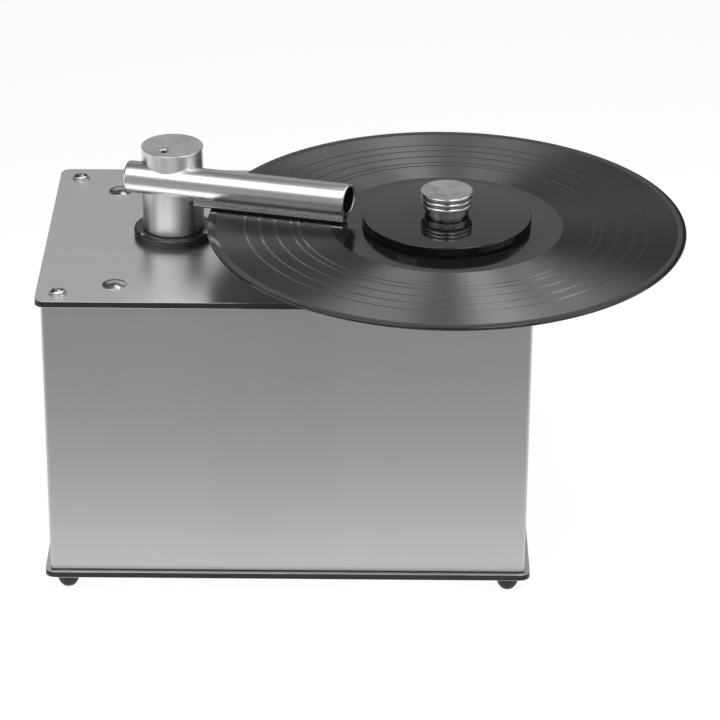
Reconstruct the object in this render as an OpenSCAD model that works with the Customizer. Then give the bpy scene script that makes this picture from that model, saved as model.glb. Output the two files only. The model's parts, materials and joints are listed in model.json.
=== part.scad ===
// Compact record cleaning machine: a sheet-metal case with a driven platter,
// a record held by a screw clamp, and a suction arm that lifts and swings.

/* [Case] */
// Width of the top and base panels
case_w = 311.8; // [305:0.1:320]
// Depth of the top and base panels
case_d = 207.3; // [205:0.1:215]
// Height of the wrap between the two panels
wall_h = 188.3; // [186:0.1:192]
// Thickness of the composite panels
panel_t = 4; // [3:0.5:5]
// Overhang of the panels beyond the walls
overhang = 3.5; // [3:0.5:5]
// Corner radius of the panels
panel_corner = 6.5; // [5:0.5:10]
// Sheet thickness of the wrap and the rear panel
sheet_t = 2; // [1.5:0.5:2.5]
// Outer bend radius of the wrap's front corners
bend_r = 2.5; // [2.5:0.5:4]
// Height of the rubber feet
foot_h = 11.5; // [9:0.5:13]
// Diameter of the rubber feet
foot_d = 15; // [13:0.5:16]
// Distance of feet and corner screws from the side edges
corner_side = 14; // [13:0.1:15]
// Distance of the front feet and corner screws from the front edge
corner_front = 12.5; // [10.8:0.1:14]
// Distance of the rear feet and corner screws from the back edge
corner_back = 15; // [14:0.1:20]

/* [Platter] */
// Distance of the spindle from the left edge of the panels
spindle_from_left = 255.1; // [250:0.1:258]
// Distance of the spindle from the front edge of the panels
spindle_from_front = 62.4; // [60:0.1:70]
// Diameter of the record
record_d = 301.6; // [300:0.1:302]
// Thickness of the record at its rim and label
record_t = 2; // [1.6:0.1:2.4]
// Height of the record's top above the top panel
record_rise = 27; // [26:0.1:28]
// Diameter of the platter
platter_d = 106; // [98:1:110]
// Diameter of the clamp disc
clamp_d = 106.6; // [98:0.2:110]
// Thickness of the clamp disc
clamp_t = 6; // [4:0.5:7]
// Diameter of the clamp knob
knob_d = 33; // [28:0.5:36]
// Height of the clamp knob
knob_h = 16; // [15:0.1:18]

/* [Arm] */
// Distance of the arm column from the left edge of the panels
column_from_left = 80.9; // [78:0.1:84]
// Diameter of the arm column
column_d = 39.4; // [39:0.1:41]
// Height of the column's top above the top panel
column_rise = 61.3; // [60:0.1:65]
// Diameter of the flange at the column's foot
flange_d = 51; // [50.5:0.5:54]
// Thickness of the flange
flange_t = 5.5; // [5:0.5:6]
// Outer diameter of the suction wand
wand_d = 20.3; // [20:0.1:21]
// Height of the wand's axis above the top panel
wand_rise = 42.4; // [42:0.1:43]
// Distance of the wand's axis in front of the column's axis
wand_offset = 12.3; // [11:0.1:13]
// Direction of the wand in plan, degrees from the case's width
wand_angle = -14.2; // [-16:0.1:-12]
// Length of the wand from beside the column's axis to its open end
wand_front = 119.6; // [115:0.1:121]
// Length of the wand from beside the column's axis to its closed end
wand_back = 26.3; // [26:0.1:32]
// Angle of the wand's open end against a square cut, degrees
tip_bevel = 10; // [0:1:12]
// Gap between the velvet and the record with the arm at rest
lip_gap = 0.5; // [0.5:0.1:1]

/* [Inside] */
// Width of the waste tank
tank_w = 70; // [66:1:72]
// Depth of the waste tank
tank_d = 172; // [160:1:174]
// Wall of the waste tank
tank_wall = 3; // [2:0.5:4]
// Module of the gear teeth
gear_module = 0.5; // [0.5]
// Diameter of the vacuum fan's housing
fan_d = 116; // [110:1:118]
// Number of fan blades
fan_blades = 9; // [7:1:11]

/* [Hidden] */
$fn = 96;
eps = 0.01;
fit = 0.04;

// Heights above the floor
base_top = foot_h + panel_t;
deck_low = base_top + wall_h;
deck = deck_low + panel_t;
record_top = deck + record_rise;
record_low = record_top - record_t;

// Reach of the drain tap behind the rear panel
tap_reach = 32.5;

// The whole machine's box is centred on the frame's origin
case_left = -(spindle_from_left + record_d / 2) / 2;
box_front = spindle_from_front - record_d / 2;
box_back = case_d - overhang + tap_reach;
case_front = -(box_front + box_back) / 2;
spindle_x = case_left + spindle_from_left;
spindle_y = case_front + spindle_from_front;
column_x = case_left + column_from_left;
column_y = case_front + case_d / 2;

// Outside of the walls in case coordinates
wall_right = case_w - overhang;
wall_back = case_d - overhang;

// Two round-headed bolts that carry the tank
hanger_at = [[48.1, 25.6], [42, 171]];
hanger_head_d = 16;
hanger_bolt_d = 6;

// Waste tank under the arm
tank_left = 56;
tank_front = 14;
tank_low = 40;
lid_low = 180;
lid_t = 4;
gasket_t = 1.5;
tank_top = lid_low - gasket_t;
outlet_v = 137;
outlet_z = 165;
spigot_d = 22;
spigot_bore = 18;
hose_wall = 2.5;
hose_bend = 45;

// Suction post and its bushes, heights above the deck
post_d = 18;
post_bore = 14;
sleeve_d = 26;
sleeve_low = -14;
sleeve_top = 15;
ceiling = 19.1;
post_top = wand_rise - wand_d / 2 - 0.6;
washer_top = 19;
washer_t = 1;
column_low = flange_t + 0.4;
column_cavity_d = 34;
set_screw_d = 6;

// Lift spring
spring_r = 15.2;
spring_wire_r = 0.7;
spring_curls = 4;
spring_low = deck + flange_t + spring_wire_r + 0.1;
spring_high = deck + washer_top - washer_t - spring_wire_r - 0.1;

// Screws of the arm flange and the motor bracket
flange_screw_r = 22.4;
flange_screw_angle = -24;
bracket_screw_r = 26;
screw_d = 3;
screw_head_d = 4.8;

// Suction lip, heights above the deck
lip_w = 6.6;
lip_start = 18.3;
lip_top = wand_rise - 9.2;
velvet_low = record_rise + lip_gap;
velvet_t = 1;
lip_flange_t = 1.3;
groove_t = 0.8;
slot_w = 2.6;
slot_start = lip_start + 6;
slot_end = wand_front - 10;
lip_back = 2.6;

// Platter stack
mat_t = 1;
platter_t = 10;
platter_low = record_low - mat_t - platter_t;
bush_flange_t = 3;
journal_d = 12;
pin_d = 7.1;
shaft_d = 8;
label_d = 100;
label_t = 0.15;
seal_t = 1;
clamp_low = record_top + seal_t;
knob_low = clamp_low + clamp_t;
knob_turns = 4.5;
thread_pitch = 2;

// Gear motor under the spindle: the motor's own axis stands behind the output's
motor_offset = 10;
motor_d = 60;
gear_top = 183;
gear_low = 158;
motor_low = 112;
wheel_teeth = 42;
pinion_teeth = 12;
gear_distance = gear_module * (wheel_teeth + pinion_teeth) / 2;
idler_at = [sqrt(gear_distance * gear_distance - motor_offset * motor_offset / 4), motor_offset / 2];
output_level = 173.5;
rotor_level = 163;
gear_t = 5;
idler_pin_d = 3;
rotor_shaft_d = 4;
mesh_angle = atan2(idler_at[1], idler_at[0]);

// Vacuum fan
fan_u = tank_left + tank_w + 21 + hose_bend;
fan_v = outlet_v;
fan_low = 21.5;
fan_deck = 66;
fan_top = 106;
fan_shaft_d = 8;

// Switches on the left wall, mains inlet and drain tap on the rear panel
switch_v = [46, 74];
switch_z = 170;
switch_w = 15;
switch_h = 21;
bezel_t = 1.5;
rocker_w = 11.6;
rocker_h = 17;
rocker_play = 0.8;
rocker_tilt = 9;
rocker_pivot = 5;
rocker_pin_d = 2;
inlet_u = 268;
inlet_z = 46;
inlet_w = 30;
inlet_h = 24;
tap_u = 91;
tap_z = 52;
tap_tail_d = 12;
tap_plug_d = 10;
spout_d = 10;

metal = [0.72, 0.73, 0.74];
bright = [0.82, 0.83, 0.84];
black = [0.06, 0.06, 0.065];
rubber = [0.09, 0.09, 0.09];
plastic = [0.85, 0.85, 0.82];
brass = [0.78, 0.62, 0.32];

// Moves its children to a point given from the panels' front left corner
module at_case(u, v, z = 0) {
  translate([case_left + u, case_front + v, z]) children();
}

// Moves its children to the spindle's axis
module at_spindle(z = 0) {
  translate([spindle_x, spindle_y, z]) children();
}

// Moves its children to the column's axis, with heights above the deck
module at_column(z = 0) {
  translate([column_x, column_y, deck + z]) children();
}

// Turns its children to the wand's direction, on the wand's axis in front of the column's
module along_wand() {
  at_column(wand_rise) rotate([0, 0, wand_angle]) translate([0, -wand_offset, 0]) children();
}

module at_corners() {
  for (u = [corner_side, case_w - corner_side]) {
    for (v = [corner_front, case_d - corner_back]) {
      translate([case_left + u, case_front + v, 0]) children();
    }
  }
}

module at_flange_screws() {
  for (k = [0 : 2]) {
    rotate([0, 0, flange_screw_angle + 120 * k]) translate([flange_screw_r, 0, 0]) children();
  }
}

module at_bracket_screws() {
  for (k = [0 : 2]) {
    rotate([0, 0, 30 + 120 * k]) translate([bracket_screw_r, 0, 0]) children();
  }
}

module rounded_rect(w, d, r) {
  translate([r, 0]) square([w - 2 * r, d]);
  translate([0, r]) square([w, d - 2 * r]);
  for (x = [r, w - r]) {
    for (y = [r, d - r]) {
      translate([x, y]) circle(r);
    }
  }
}

module tube(outer_d, bore_d, h) {
  difference() {
    cylinder(d = outer_d, h = h);
    translate([0, 0, -1]) cylinder(d = bore_d, h = h + 2);
  }
}

// Spherical cap of a given rim radius and height
module dome(r, h) {
  ball_r = (r * r + h * h) / (2 * h);
  intersection() {
    translate([0, 0, h - ball_r]) sphere(ball_r);
    cylinder(r = r, h = h);
  }
}

// Half section of a disc with a rounded rim
module rim_section(r, h, f) {
  square([r - f, h]);
  translate([0, f]) square([r, h - 2 * f]);
  translate([r - f, f]) circle(f);
  translate([r - f, h - f]) circle(f);
}

module hex_socket(across, depth) {
  translate([0, 0, -depth]) cylinder(d = across / cos(30), h = depth + 1, $fn = 6);
}

// Rings of points swept along a path, closed at both ends; each frame is [centre, side, up]
module swept_tube(frames, r, sides) {
  n = len(frames);
  points = [
    for (f = frames)
      for (k = [0 : sides - 1])
        f[0] + r * (cos(360 * k / sides) * f[1] + sin(360 * k / sides) * f[2])
  ];
  walls = [
    for (i = [0 : n - 2])
      for (k = [0 : sides - 1])
        for (half = [0, 1])
          let (a = i * sides + k)
          let (b = i * sides + (k + 1) % sides)
          half == 0 ? [a, a + sides, b] : [b, a + sides, b + sides]
  ];
  first = [for (k = [1 : sides - 2]) [0, k, k + 1]];
  last = [for (k = [1 : sides - 2]) [(n - 1) * sides, (n - 1) * sides + k + 1, (n - 1) * sides + k]];
  polyhedron(points = points, faces = concat(walls, first, last));
}

function unit(v) = v / norm(v);

// Point at parameter t of the smooth curve through four neighbours
function curve_point(a, b, c, d, t) =
  0.5 * (2 * b + t * (c - a) + t * t * (2 * a - 5 * b + 4 * c - d)
  + t * t * t * (3 * b - a - 3 * c + d));

function smooth_route(p, steps) =
  let (n = len(p))
  concat([
    for (i = [0 : n - 2])
      for (s = [0 : steps - 1])
        curve_point(p[max(i - 1, 0)], p[i], p[i + 1], p[min(i + 2, n - 1)], s / steps)
  ], [p[n - 1]]);

// Frames along a route, each side vector carried on from the one before
function route_frames(p) =
  let (n = len(p))
  let (t = [for (i = [0 : n - 1]) unit(p[min(i + 1, n - 1)] - p[max(i - 1, 0)])])
  let (start = abs(t[0][2]) < 0.9 ? [0, 0, 1] : [1, 0, 0])
  [
    for (i = 0, s = unit(cross(t[0], start)); i < n;
         i = i + 1, s = i < n ? unit(s - (s * t[i]) * t[i]) : s)
      [p[i], s, cross(t[i], s)]
  ];

// Outline of the wrap, moved inwards by a distance
module wrap_outline(inward) {
  left = overhang + inward;
  front = overhang + inward;
  right = wall_right - inward;
  r = max(bend_r - inward, 0.3);
  translate([left, front + r]) square([right - left, wall_back - front - r]);
  translate([left + r, front]) square([right - left - 2 * r, r + 1]);
  translate([left + r, front + r]) circle(r);
  translate([right - r, front + r]) circle(r);
}

module wrap_section() {
  difference() {
    wrap_outline(0);
    wrap_outline(sheet_t);
    translate([0, wall_back - sheet_t]) square([case_w, 2 * sheet_t]);
  }
}

module panel_blank(z) {
  at_case(0, 0, z) linear_extrude(panel_t) rounded_rect(case_w, case_d, panel_corner);
}

module top_panel() {
  color(metal) difference() {
    panel_blank(deck_low);
    at_corners() translate([0, 0, deck_low - 1]) cylinder(d = 5.4, h = panel_t + 2);
    for (p = hanger_at) {
      at_case(p[0], p[1], deck_low - 1) cylinder(d = hanger_bolt_d + 0.4, h = panel_t + 2);
    }
    at_column(-panel_t - 1) cylinder(d = sleeve_d + 0.2, h = panel_t + 2);
    at_column(-panel_t - 1) at_flange_screws() cylinder(d = screw_d + 0.2, h = panel_t + 2);
    at_spindle(deck_low - 1) cylinder(d = 24.2, h = panel_t + 2);
    at_spindle(deck_low - 1) at_bracket_screws() cylinder(d = screw_d + 0.2, h = panel_t + 2);
  }
}

module base_panel() {
  color(metal) difference() {
    panel_blank(foot_h);
    at_corners() translate([0, 0, foot_h - 1]) cylinder(d = 3.4, h = panel_t + 2);
  }
}

// Sheet bent round the front and both sides, with a return flange at the back
module front_shell() {
  gasket = 0.8;
  flange_w = 12;
  color(metal) difference() {
    union() {
      at_case(0, 0, base_top + gasket) linear_extrude(wall_h - gasket) wrap_section();
      for (u = [overhang + sheet_t - eps, wall_right - sheet_t - flange_w + eps]) {
        at_case(u, wall_back - 2 * sheet_t, base_top + gasket) cube([flange_w, sheet_t, wall_h - gasket]);
      }
    }
    for (v = switch_v) {
      at_case(overhang - 1, v - 6.6, switch_z - 9.6) cube([sheet_t + 2, 13.2, 19.2]);
    }
    at_rear_screws() cylinder(d = 3.1, h = 3 * sheet_t);
  }
}

module foot_gasket() {
  color(rubber) at_case(0, 0, base_top) linear_extrude(0.8) wrap_section();
}

module at_rear_screws() {
  for (u = [overhang + 8, wall_right - 8]) {
    for (z = [base_top + 14, base_top + wall_h / 2, deck_low - 14]) {
      translate([case_left + u, case_front + wall_back + sheet_t, z]) rotate([90, 0, 0]) children();
    }
  }
}

module rear_panel() {
  slot_len = 56;
  slot_h = 4;
  color(metal) difference() {
    at_case(overhang, wall_back - sheet_t, base_top) cube([wall_right - overhang, sheet_t, wall_h]);
    for (k = [0 : 6]) {
      at_case(fan_u - slot_len / 2, wall_back - sheet_t - 1, 118 + 9 * k) cube([slot_len, sheet_t + 2, slot_h]);
    }
    at_case(inlet_u - 13.5, wall_back - sheet_t - 1, inlet_z - 10) cube([27, sheet_t + 2, 20]);
    at_case(tap_u, wall_back + 1, tap_z) rotate([90, 0, 0]) cylinder(d = tap_tail_d + 0.2, h = sheet_t + 2);
    at_rear_screws() cylinder(d = 3.1, h = 3 * sheet_t);
  }
}

module rear_screws() {
  shank = 5;
  color(black) at_rear_screws() translate([0, 0, sheet_t]) {
    cylinder(d = 3, h = shank);
    difference() {
      mirror([0, 0, 1]) dome(2.9, 1.6);
      translate([0, 0, -1.6]) mirror([0, 0, 1]) hex_socket(2, 1);
    }
  }
}

module corner_posts() {
  post = 9.4;
  bore_depth = 22;
  color(bright) at_corners() difference() {
    translate([0, 0, base_top]) cylinder(d = post, h = wall_h);
    translate([0, 0, deck_low - bore_depth]) cylinder(d = 5.08, h = bore_depth + 1);
    translate([0, 0, base_top - 1]) cylinder(d = 3.08, h = bore_depth);
  }
}

module corner_screws() {
  washer_d = 11.4;
  washer_h = 0.8;
  head_r = 4.7;
  head_h = 2.5;
  color(bright) at_corners() translate([0, 0, deck]) {
    difference() {
      union() {
        cylinder(d = washer_d, h = washer_h);
        translate([0, 0, washer_h]) dome(head_r, head_h);
      }
      translate([0, 0, washer_h + head_h]) hex_socket(3, 1.9);
    }
    translate([0, 0, -panel_t - 16]) cylinder(d = 5, h = panel_t + 16 + eps);
  }
}

module feet() {
  flat_r = 5;
  r = foot_d / 2;
  ball_z = sqrt(r * r - flat_r * flat_r);
  color(rubber) at_corners() difference() {
    union() {
      intersection() {
        translate([0, 0, ball_z]) sphere(r);
        cylinder(r = r, h = ball_z);
      }
      translate([0, 0, ball_z - eps]) cylinder(r = r, h = foot_h - ball_z + eps);
    }
    translate([0, 0, -1]) cylinder(d = 3.4, h = foot_h + 2);
    translate([0, 0, -1]) cylinder(d = 6.4, h = 4.4);
  }
}

module foot_screws() {
  head_low = 1;
  color(bright) at_corners() difference() {
    union() {
      translate([0, 0, head_low]) cylinder(d = 5.8, h = 2.4);
      translate([0, 0, head_low + 2]) cylinder(d = 3, h = base_top + 14 - head_low);
    }
    translate([0, 0, head_low]) mirror([0, 0, 1]) hex_socket(2.5, 1.5);
  }
}

module hanger_bolts() {
  shank = deck - lid_low + 8;
  color(bright) for (p = hanger_at) {
    at_case(p[0], p[1], deck) {
      dome(hanger_head_d / 2, 2.6);
      translate([0, 0, -shank]) cylinder(d = hanger_bolt_d, h = shank + eps);
    }
  }
}

module hanger_nuts() {
  color(bright) for (p = hanger_at) {
    at_case(p[0], p[1], lid_low - 5) difference() {
      cylinder(d = 10 / cos(30), h = 5, $fn = 6);
      translate([0, 0, -1]) cylinder(d = hanger_bolt_d + 2 * fit, h = 7);
    }
  }
}

// Open box with rounded corners, an air outlet to the fan and a hole for the drain tap
module waste_tank() {
  color(plastic) difference() {
    union() {
      at_case(tank_left, tank_front, tank_low)
        linear_extrude(tank_top - tank_low) rounded_rect(tank_w, tank_d, 8);
      at_case(tank_left + tank_w - 2, outlet_v, outlet_z) rotate([0, 90, 0]) cylinder(d = spigot_d, h = 18);
    }
    at_case(tank_left + tank_wall, tank_front + tank_wall, tank_low + tank_wall)
      linear_extrude(tank_top - tank_low) rounded_rect(tank_w - 2 * tank_wall, tank_d - 2 * tank_wall, 5);
    at_case(tank_left + tank_w - 10, outlet_v, outlet_z) rotate([0, 90, 0]) cylinder(d = spigot_bore, h = 30);
    at_case(tap_u, tank_front + tank_d + 1, tap_z)
      rotate([90, 0, 0]) cylinder(d = tap_tail_d + 2 * fit, h = tank_wall + 2);
  }
}

module tank_lid() {
  lap = 3;
  ear_w = 22;
  seat_d = 26;
  color(plastic) difference() {
    union() {
      at_case(tank_left - lap, tank_front - lap, lid_low)
        linear_extrude(lid_t) rounded_rect(tank_w + 2 * lap, tank_d + 2 * lap, 8);
      for (p = hanger_at) {
        at_case(p[0], p[1] - ear_w / 2, lid_low) cube([tank_left - p[0], ear_w, lid_t]);
        at_case(p[0], p[1], lid_low) cylinder(d = ear_w, h = lid_t);
        at_case(p[0], p[1], lid_low) cylinder(d = 14, h = deck_low - lid_low);
      }
      translate([column_x, column_y, lid_low]) cylinder(d = 34, h = 8.5);
    }
    translate([column_x, column_y, lid_low - 1]) cylinder(d = post_d + 1, h = 20);
    translate([column_x, column_y, lid_low + 2.5]) cylinder(d = seat_d, h = 20);
    for (p = hanger_at) {
      at_case(p[0], p[1], lid_low - 1) cylinder(d = hanger_bolt_d + 0.3, h = 30);
    }
  }
}

module lid_gasket() {
  color(rubber) at_case(tank_left, tank_front, tank_top) linear_extrude(gasket_t) difference() {
    rounded_rect(tank_w, tank_d, 8);
    translate([tank_wall, tank_wall]) rounded_rect(tank_w - 2 * tank_wall, tank_d - 2 * tank_wall, 5);
  }
}

module lid_seal() {
  color(rubber) translate([column_x, column_y, lid_low + 2.5]) tube(25.9, post_d + 0.16, 5.5);
}

// Straight off the tank, a quarter bend, then down onto the fan's inlet
module suction_hose() {
  bore = spigot_d + 2 * fit;
  d = bore + 2 * hose_wall;
  start = tank_left + tank_w + 2;
  bend_u = fan_u - hose_bend;
  down = outlet_z - hose_bend;
  color(black) {
    at_case(start, outlet_v, outlet_z) rotate([0, 90, 0]) tube(d, bore, bend_u - start);
    at_case(bend_u, outlet_v, down) rotate([90, 0, 0]) rotate_extrude(angle = 90)
      translate([hose_bend, 0]) difference() {
        circle(d = d);
        circle(d = bore);
      }
    at_case(fan_u, fan_v, fan_top + 2) tube(d, bore, down - fan_top - 2);
  }
}

module arm_flange() {
  color(black) at_column() difference() {
    rotate_extrude() {
      square([flange_d / 2 - 1.5, flange_t]);
      square([flange_d / 2, flange_t - 1.5]);
      translate([flange_d / 2 - 1.5, flange_t - 1.5]) circle(1.5);
    }
    translate([0, 0, -1]) cylinder(d = sleeve_d + 0.1, h = flange_t + 2);
    translate([0, 0, -1]) cylinder(d = 30.2, h = 3.1);
    at_flange_screws() translate([0, 0, -1]) cylinder(d = screw_d + 0.2, h = flange_t + 2);
    at_flange_screws() translate([0, 0, flange_t - 2]) cylinder(d = screw_head_d + 0.1, h = 3);
  }
}

module socket_screw(shank) {
  difference() {
    union() {
      cylinder(d = screw_head_d, h = 1.9);
      translate([0, 0, -shank]) cylinder(d = screw_d, h = shank + 1);
    }
    translate([0, 0, 1.9]) hex_socket(2.2, 1.3);
  }
}

// Three screws hold the arm's flange and three more the motor bracket
module deck_screws() {
  color(bright) {
    at_column(flange_t - 2) at_flange_screws() socket_screw(flange_t + panel_t - 0.5);
    at_spindle(deck) at_bracket_screws() socket_screw(14);
  }
}

module guide_sleeve() {
  color(brass) at_column() difference() {
    union() {
      translate([0, 0, sleeve_low]) cylinder(d = sleeve_d, h = sleeve_top - sleeve_low);
      cylinder(d = 30, h = 2);
    }
    translate([0, 0, sleeve_low - 1]) cylinder(d = post_d + 2 * fit, h = 40);
  }
}

module sleeve_nut() {
  color(brass) at_column(-panel_t - 5) difference() {
    cylinder(d = 34 / cos(30), h = 5, $fn = 6);
    translate([0, 0, -1]) cylinder(d = sleeve_d + 2 * fit, h = 7);
  }
}

function spring_point(a) =
  let (rise = (spring_high - spring_low) * a / (360 * spring_curls))
  [column_x + spring_r * cos(a), column_y + spring_r * sin(a), spring_low + rise];

function spring_frame(a) =
  let (side = [cos(a), sin(a), 0])
  let (run = unit(spring_point(a + 1) - spring_point(a - 1)))
  [spring_point(a), side, cross(side, run)];

spring_angles = [for (k = [0 : 8 * spring_curls]) 45 * k];
spring_gap = min([
  for (a = [0 : 15 : 360 * (spring_curls - 1)])
    norm(spring_point(a + 360) - spring_point(a)) - 2 * spring_wire_r
]);
echo(spring_gap = spring_gap);

module lift_spring() {
  color(bright) swept_tube([for (a = spring_angles) spring_frame(a)], spring_wire_r, 6);
}

module thrust_washer() {
  color(bright) at_column(washer_top - washer_t) tube(33, post_d + 0.6, washer_t);
}

module suction_post() {
  low = lid_low - deck - 16;
  color(bright) at_column(low) tube(post_d, post_bore, post_top - low);
}

module arm_column() {
  edge = 0.5;
  color(bright) difference() {
    at_column(column_low) rotate_extrude() {
      square([column_d / 2 - edge, column_rise - column_low]);
      square([column_d / 2, column_rise - column_low - edge]);
      translate([column_d / 2 - edge, column_rise - column_low - edge]) circle(edge);
    }
    along_wand() rotate([0, 90, 0]) cylinder(d = wand_d + 0.1, h = column_d + 4, center = true);
    at_column(column_low - 1) cylinder(d = column_cavity_d, h = ceiling - column_low + 1);
    at_column(column_low - 1) cylinder(d = post_d + 2 * fit, h = post_top + 0.1 - column_low + 1);
    at_column(column_low - 1) cylinder(d = post_bore, h = wand_rise - column_low + 1);
    at_set_screw(wand_rise) cylinder(d = set_screw_d + 0.08, h = 30);
  }
}

// Moves its children to the set screw that clamps the wand from the column's top
module at_set_screw(z) {
  at_column(z) translate([-4.8, -9.8, 0]) children();
}

module column_screw() {
  length = 7.9;
  color(metal) at_set_screw(column_rise - 0.4) difference() {
    translate([0, 0, -length]) cylinder(d = set_screw_d, h = length);
    hex_socket(3, 3);
  }
}

// Everything beyond the wand's open end, which is cut at a bevel
module beyond_tip(back) {
  translate([wand_front - back, 0, 0]) rotate([0, 0, -tip_bevel]) translate([0, -40, -40]) cube([60, 80, 80]);
}

module wand_tube() {
  wall = 1.7;
  cap = 2;
  color(bright) along_wand() difference() {
    translate([-wand_back + cap, 0, 0]) rotate([0, 90, 0]) cylinder(d = wand_d, h = wand_front + wand_back + 4);
    translate([-wand_back, 0, 0]) rotate([0, 90, 0]) cylinder(d = wand_d - 2 * wall, h = 400);
    beyond_tip(0);
    translate([0, wand_offset, -wand_d]) cylinder(d = post_bore, h = wand_d);
    translate([slot_start, -slot_w / 2, -wand_d]) cube([slot_end - slot_start, slot_w, wand_d]);
  }
}

// Closes the wand's rear end; its rim is rounded over
module wand_plug() {
  color(bright) along_wand() translate([-wand_back, 0, 0]) rotate([0, 90, 0]) {
    rotate_extrude() {
      square([wand_d / 2 - 1.6, 2]);
      translate([0, 1.6]) square([wand_d / 2, 0.4]);
      intersection() {
        translate([wand_d / 2 - 1.6, 1.6]) circle(1.6);
        square([wand_d, 2]);
      }
    }
    translate([0, 0, 2 - eps]) cylinder(d = wand_d - 3.4 - 2 * fit, h = 6);
  }
}

module tip_plug() {
  color(black) along_wand() difference() {
    translate([wand_front - 11, 0, 0]) rotate([0, 90, 0]) cylinder(d = wand_d - 3.4 - 2 * fit, h = 14);
    beyond_tip(1.6);
  }
}

// Bar of a given width and height range under the wand, cut round the tube, with the slot
module lip_bar(w, low, high) {
  difference() {
    translate([lip_start, -w / 2, low - wand_rise]) cube([wand_front, w, high - low]);
    rotate([0, 90, 0]) translate([0, 0, -1]) cylinder(d = wand_d + 0.1, h = 200);
    translate([slot_start, -slot_w / 2, -60]) cube([slot_end - slot_start, slot_w, 120]);
    beyond_tip(lip_back);
  }
}

// Foot that carries the velvet, a narrow neck, and the bar that is soldered to the wand
module suction_lip() {
  foot_low = velvet_low + velvet_t;
  neck_low = foot_low + lip_flange_t;
  bar_low = neck_low + groove_t;
  color(metal) along_wand() {
    lip_bar(lip_w, foot_low, neck_low);
    lip_bar(lip_w - 1.8, neck_low - eps, bar_low + eps);
    lip_bar(lip_w, bar_low, lip_top);
  }
}

module velvet_strips() {
  color(black) along_wand() lip_bar(lip_w - 0.4, velvet_low, velvet_low + velvet_t);
}

module bearing_bush() {
  low = gear_top + 3;
  color(brass) at_spindle() difference() {
    union() {
      translate([0, 0, low]) cylinder(d = 24, h = deck - low + eps);
      translate([0, 0, deck]) cylinder(d = 34, h = bush_flange_t);
    }
    translate([0, 0, low - 1]) cylinder(d = journal_d + 2 * fit, h = 60);
  }
}

module spindle() {
  journal_low = gear_top + 4;
  journal_top = platter_low + 4;
  pin_top = knob_low + knob_turns * thread_pitch;
  color(bright) at_spindle() {
    translate([0, 0, output_level]) cylinder(d = shaft_d, h = journal_low - output_level + eps);
    translate([0, 0, journal_low]) cylinder(d = journal_d, h = journal_top - journal_low);
    translate([0, 0, journal_top - eps]) cylinder(d = pin_d, h = pin_top - journal_top);
    translate([0, 0, pin_top - 2 * eps]) cylinder(d1 = pin_d, d2 = pin_d - 2, h = 1);
  }
}

module platter() {
  hub_low = deck + bush_flange_t + 0.4;
  hub_top = platter_low + 4;
  color(black) at_spindle() difference() {
    union() {
      translate([0, 0, platter_low]) rotate_extrude() rim_section(platter_d / 2, platter_t, 1.2);
      translate([0, 0, hub_low]) cylinder(d = 36, h = platter_low - hub_low + 1);
    }
    translate([0, 0, platter_low - 1]) tube(platter_d - 14, 44, 5);
    translate([0, 0, hub_low - 1]) cylinder(d = journal_d + 2 * fit, h = hub_top - hub_low + 1);
    translate([0, 0, hub_low]) cylinder(d = pin_d + 0.1, h = 40);
  }
}

module platter_mat() {
  color(rubber) at_spindle(record_low - mat_t) tube(platter_d - 3, pin_d + 1, mat_t);
}

// Full thickness at rim and label, a little thinner where the grooves run
module record() {
  groove_in = 58;
  groove_out = record_d / 2 - 5;
  dip = 0.15;
  hole_r = 3.62;
  label_r = label_d / 2;
  color(black) at_spindle(record_low) difference() {
    rotate_extrude() rim_section(record_d / 2, record_t, 0.7);
    translate([0, 0, -1]) cylinder(r = hole_r, h = record_t + 2);
    for (z = [-1 + label_t, record_t - label_t]) {
      translate([0, 0, z]) cylinder(r = label_r, h = 1);
    }
    for (z = [-1 + dip, record_t - dip]) {
      translate([0, 0, z]) tube(2 * groove_out, 2 * groove_in, 1);
    }
  }
}

module record_label() {
  color([0.75, 0.72, 0.62]) for (z = [record_low, record_top - label_t]) {
    at_spindle(z) tube(label_d - 0.1, 7.3, label_t);
  }
}

module clamp_seal() {
  color(rubber) at_spindle(record_top) tube(clamp_d - 4, clamp_d - 24, seal_t);
}

module clamp_disc() {
  color(black) at_spindle(clamp_low) difference() {
    rotate_extrude() rim_section(clamp_d / 2, clamp_t, 0.4);
    translate([0, 0, -1]) cylinder(d = pin_d + 0.6, h = clamp_t + 2);
  }
}

// Undercut foot, plain neck and three rounded ribs under a dished top
module clamp_knob() {
  rib_h = 2.7;
  rib_gap = 0.7;
  rib_edge = 1;
  neck_d = 28;
  foot_low = 1.6;
  dish_r = 14.6;
  dish_depth = 0.8;
  ball_r = (dish_r * dish_r + dish_depth * dish_depth) / (2 * dish_depth);
  color(bright) at_spindle(knob_low) difference() {
    rotate_extrude() {
      square([neck_d / 2 - 1.6, foot_low + 1]);
      translate([0, foot_low]) square([neck_d / 2, knob_h - foot_low - rib_h]);
      for (k = [0 : 2]) {
        translate([0, knob_h - rib_h - k * (rib_h + rib_gap)]) rim_section(knob_d / 2, rib_h, rib_edge);
      }
    }
    translate([0, 0, knob_h - dish_depth + ball_r]) sphere(ball_r, $fn = 200);
    translate([0, 0, -1]) cylinder(d = pin_d + 0.6, h = 12);
  }
}

// Plate hung under the deck on three pillars; it carries the gearbox
module motor_bracket() {
  plate_t = 3;
  color(metal) at_spindle(gear_top) difference() {
    union() {
      cylinder(d = 66, h = plate_t);
      at_bracket_screws() cylinder(d = 9, h = deck_low - gear_top);
    }
    translate([0, 0, -1]) cylinder(d = journal_d + 2, h = plate_t + 2);
    at_bracket_screws() translate([0, 0, plate_t]) cylinder(d = screw_d + 2 * fit, h = 40);
  }
}

// Involute outline of a gear, one tooth centred on the first axis
function involute(a) = tan(a) - a * PI / 180;

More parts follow.
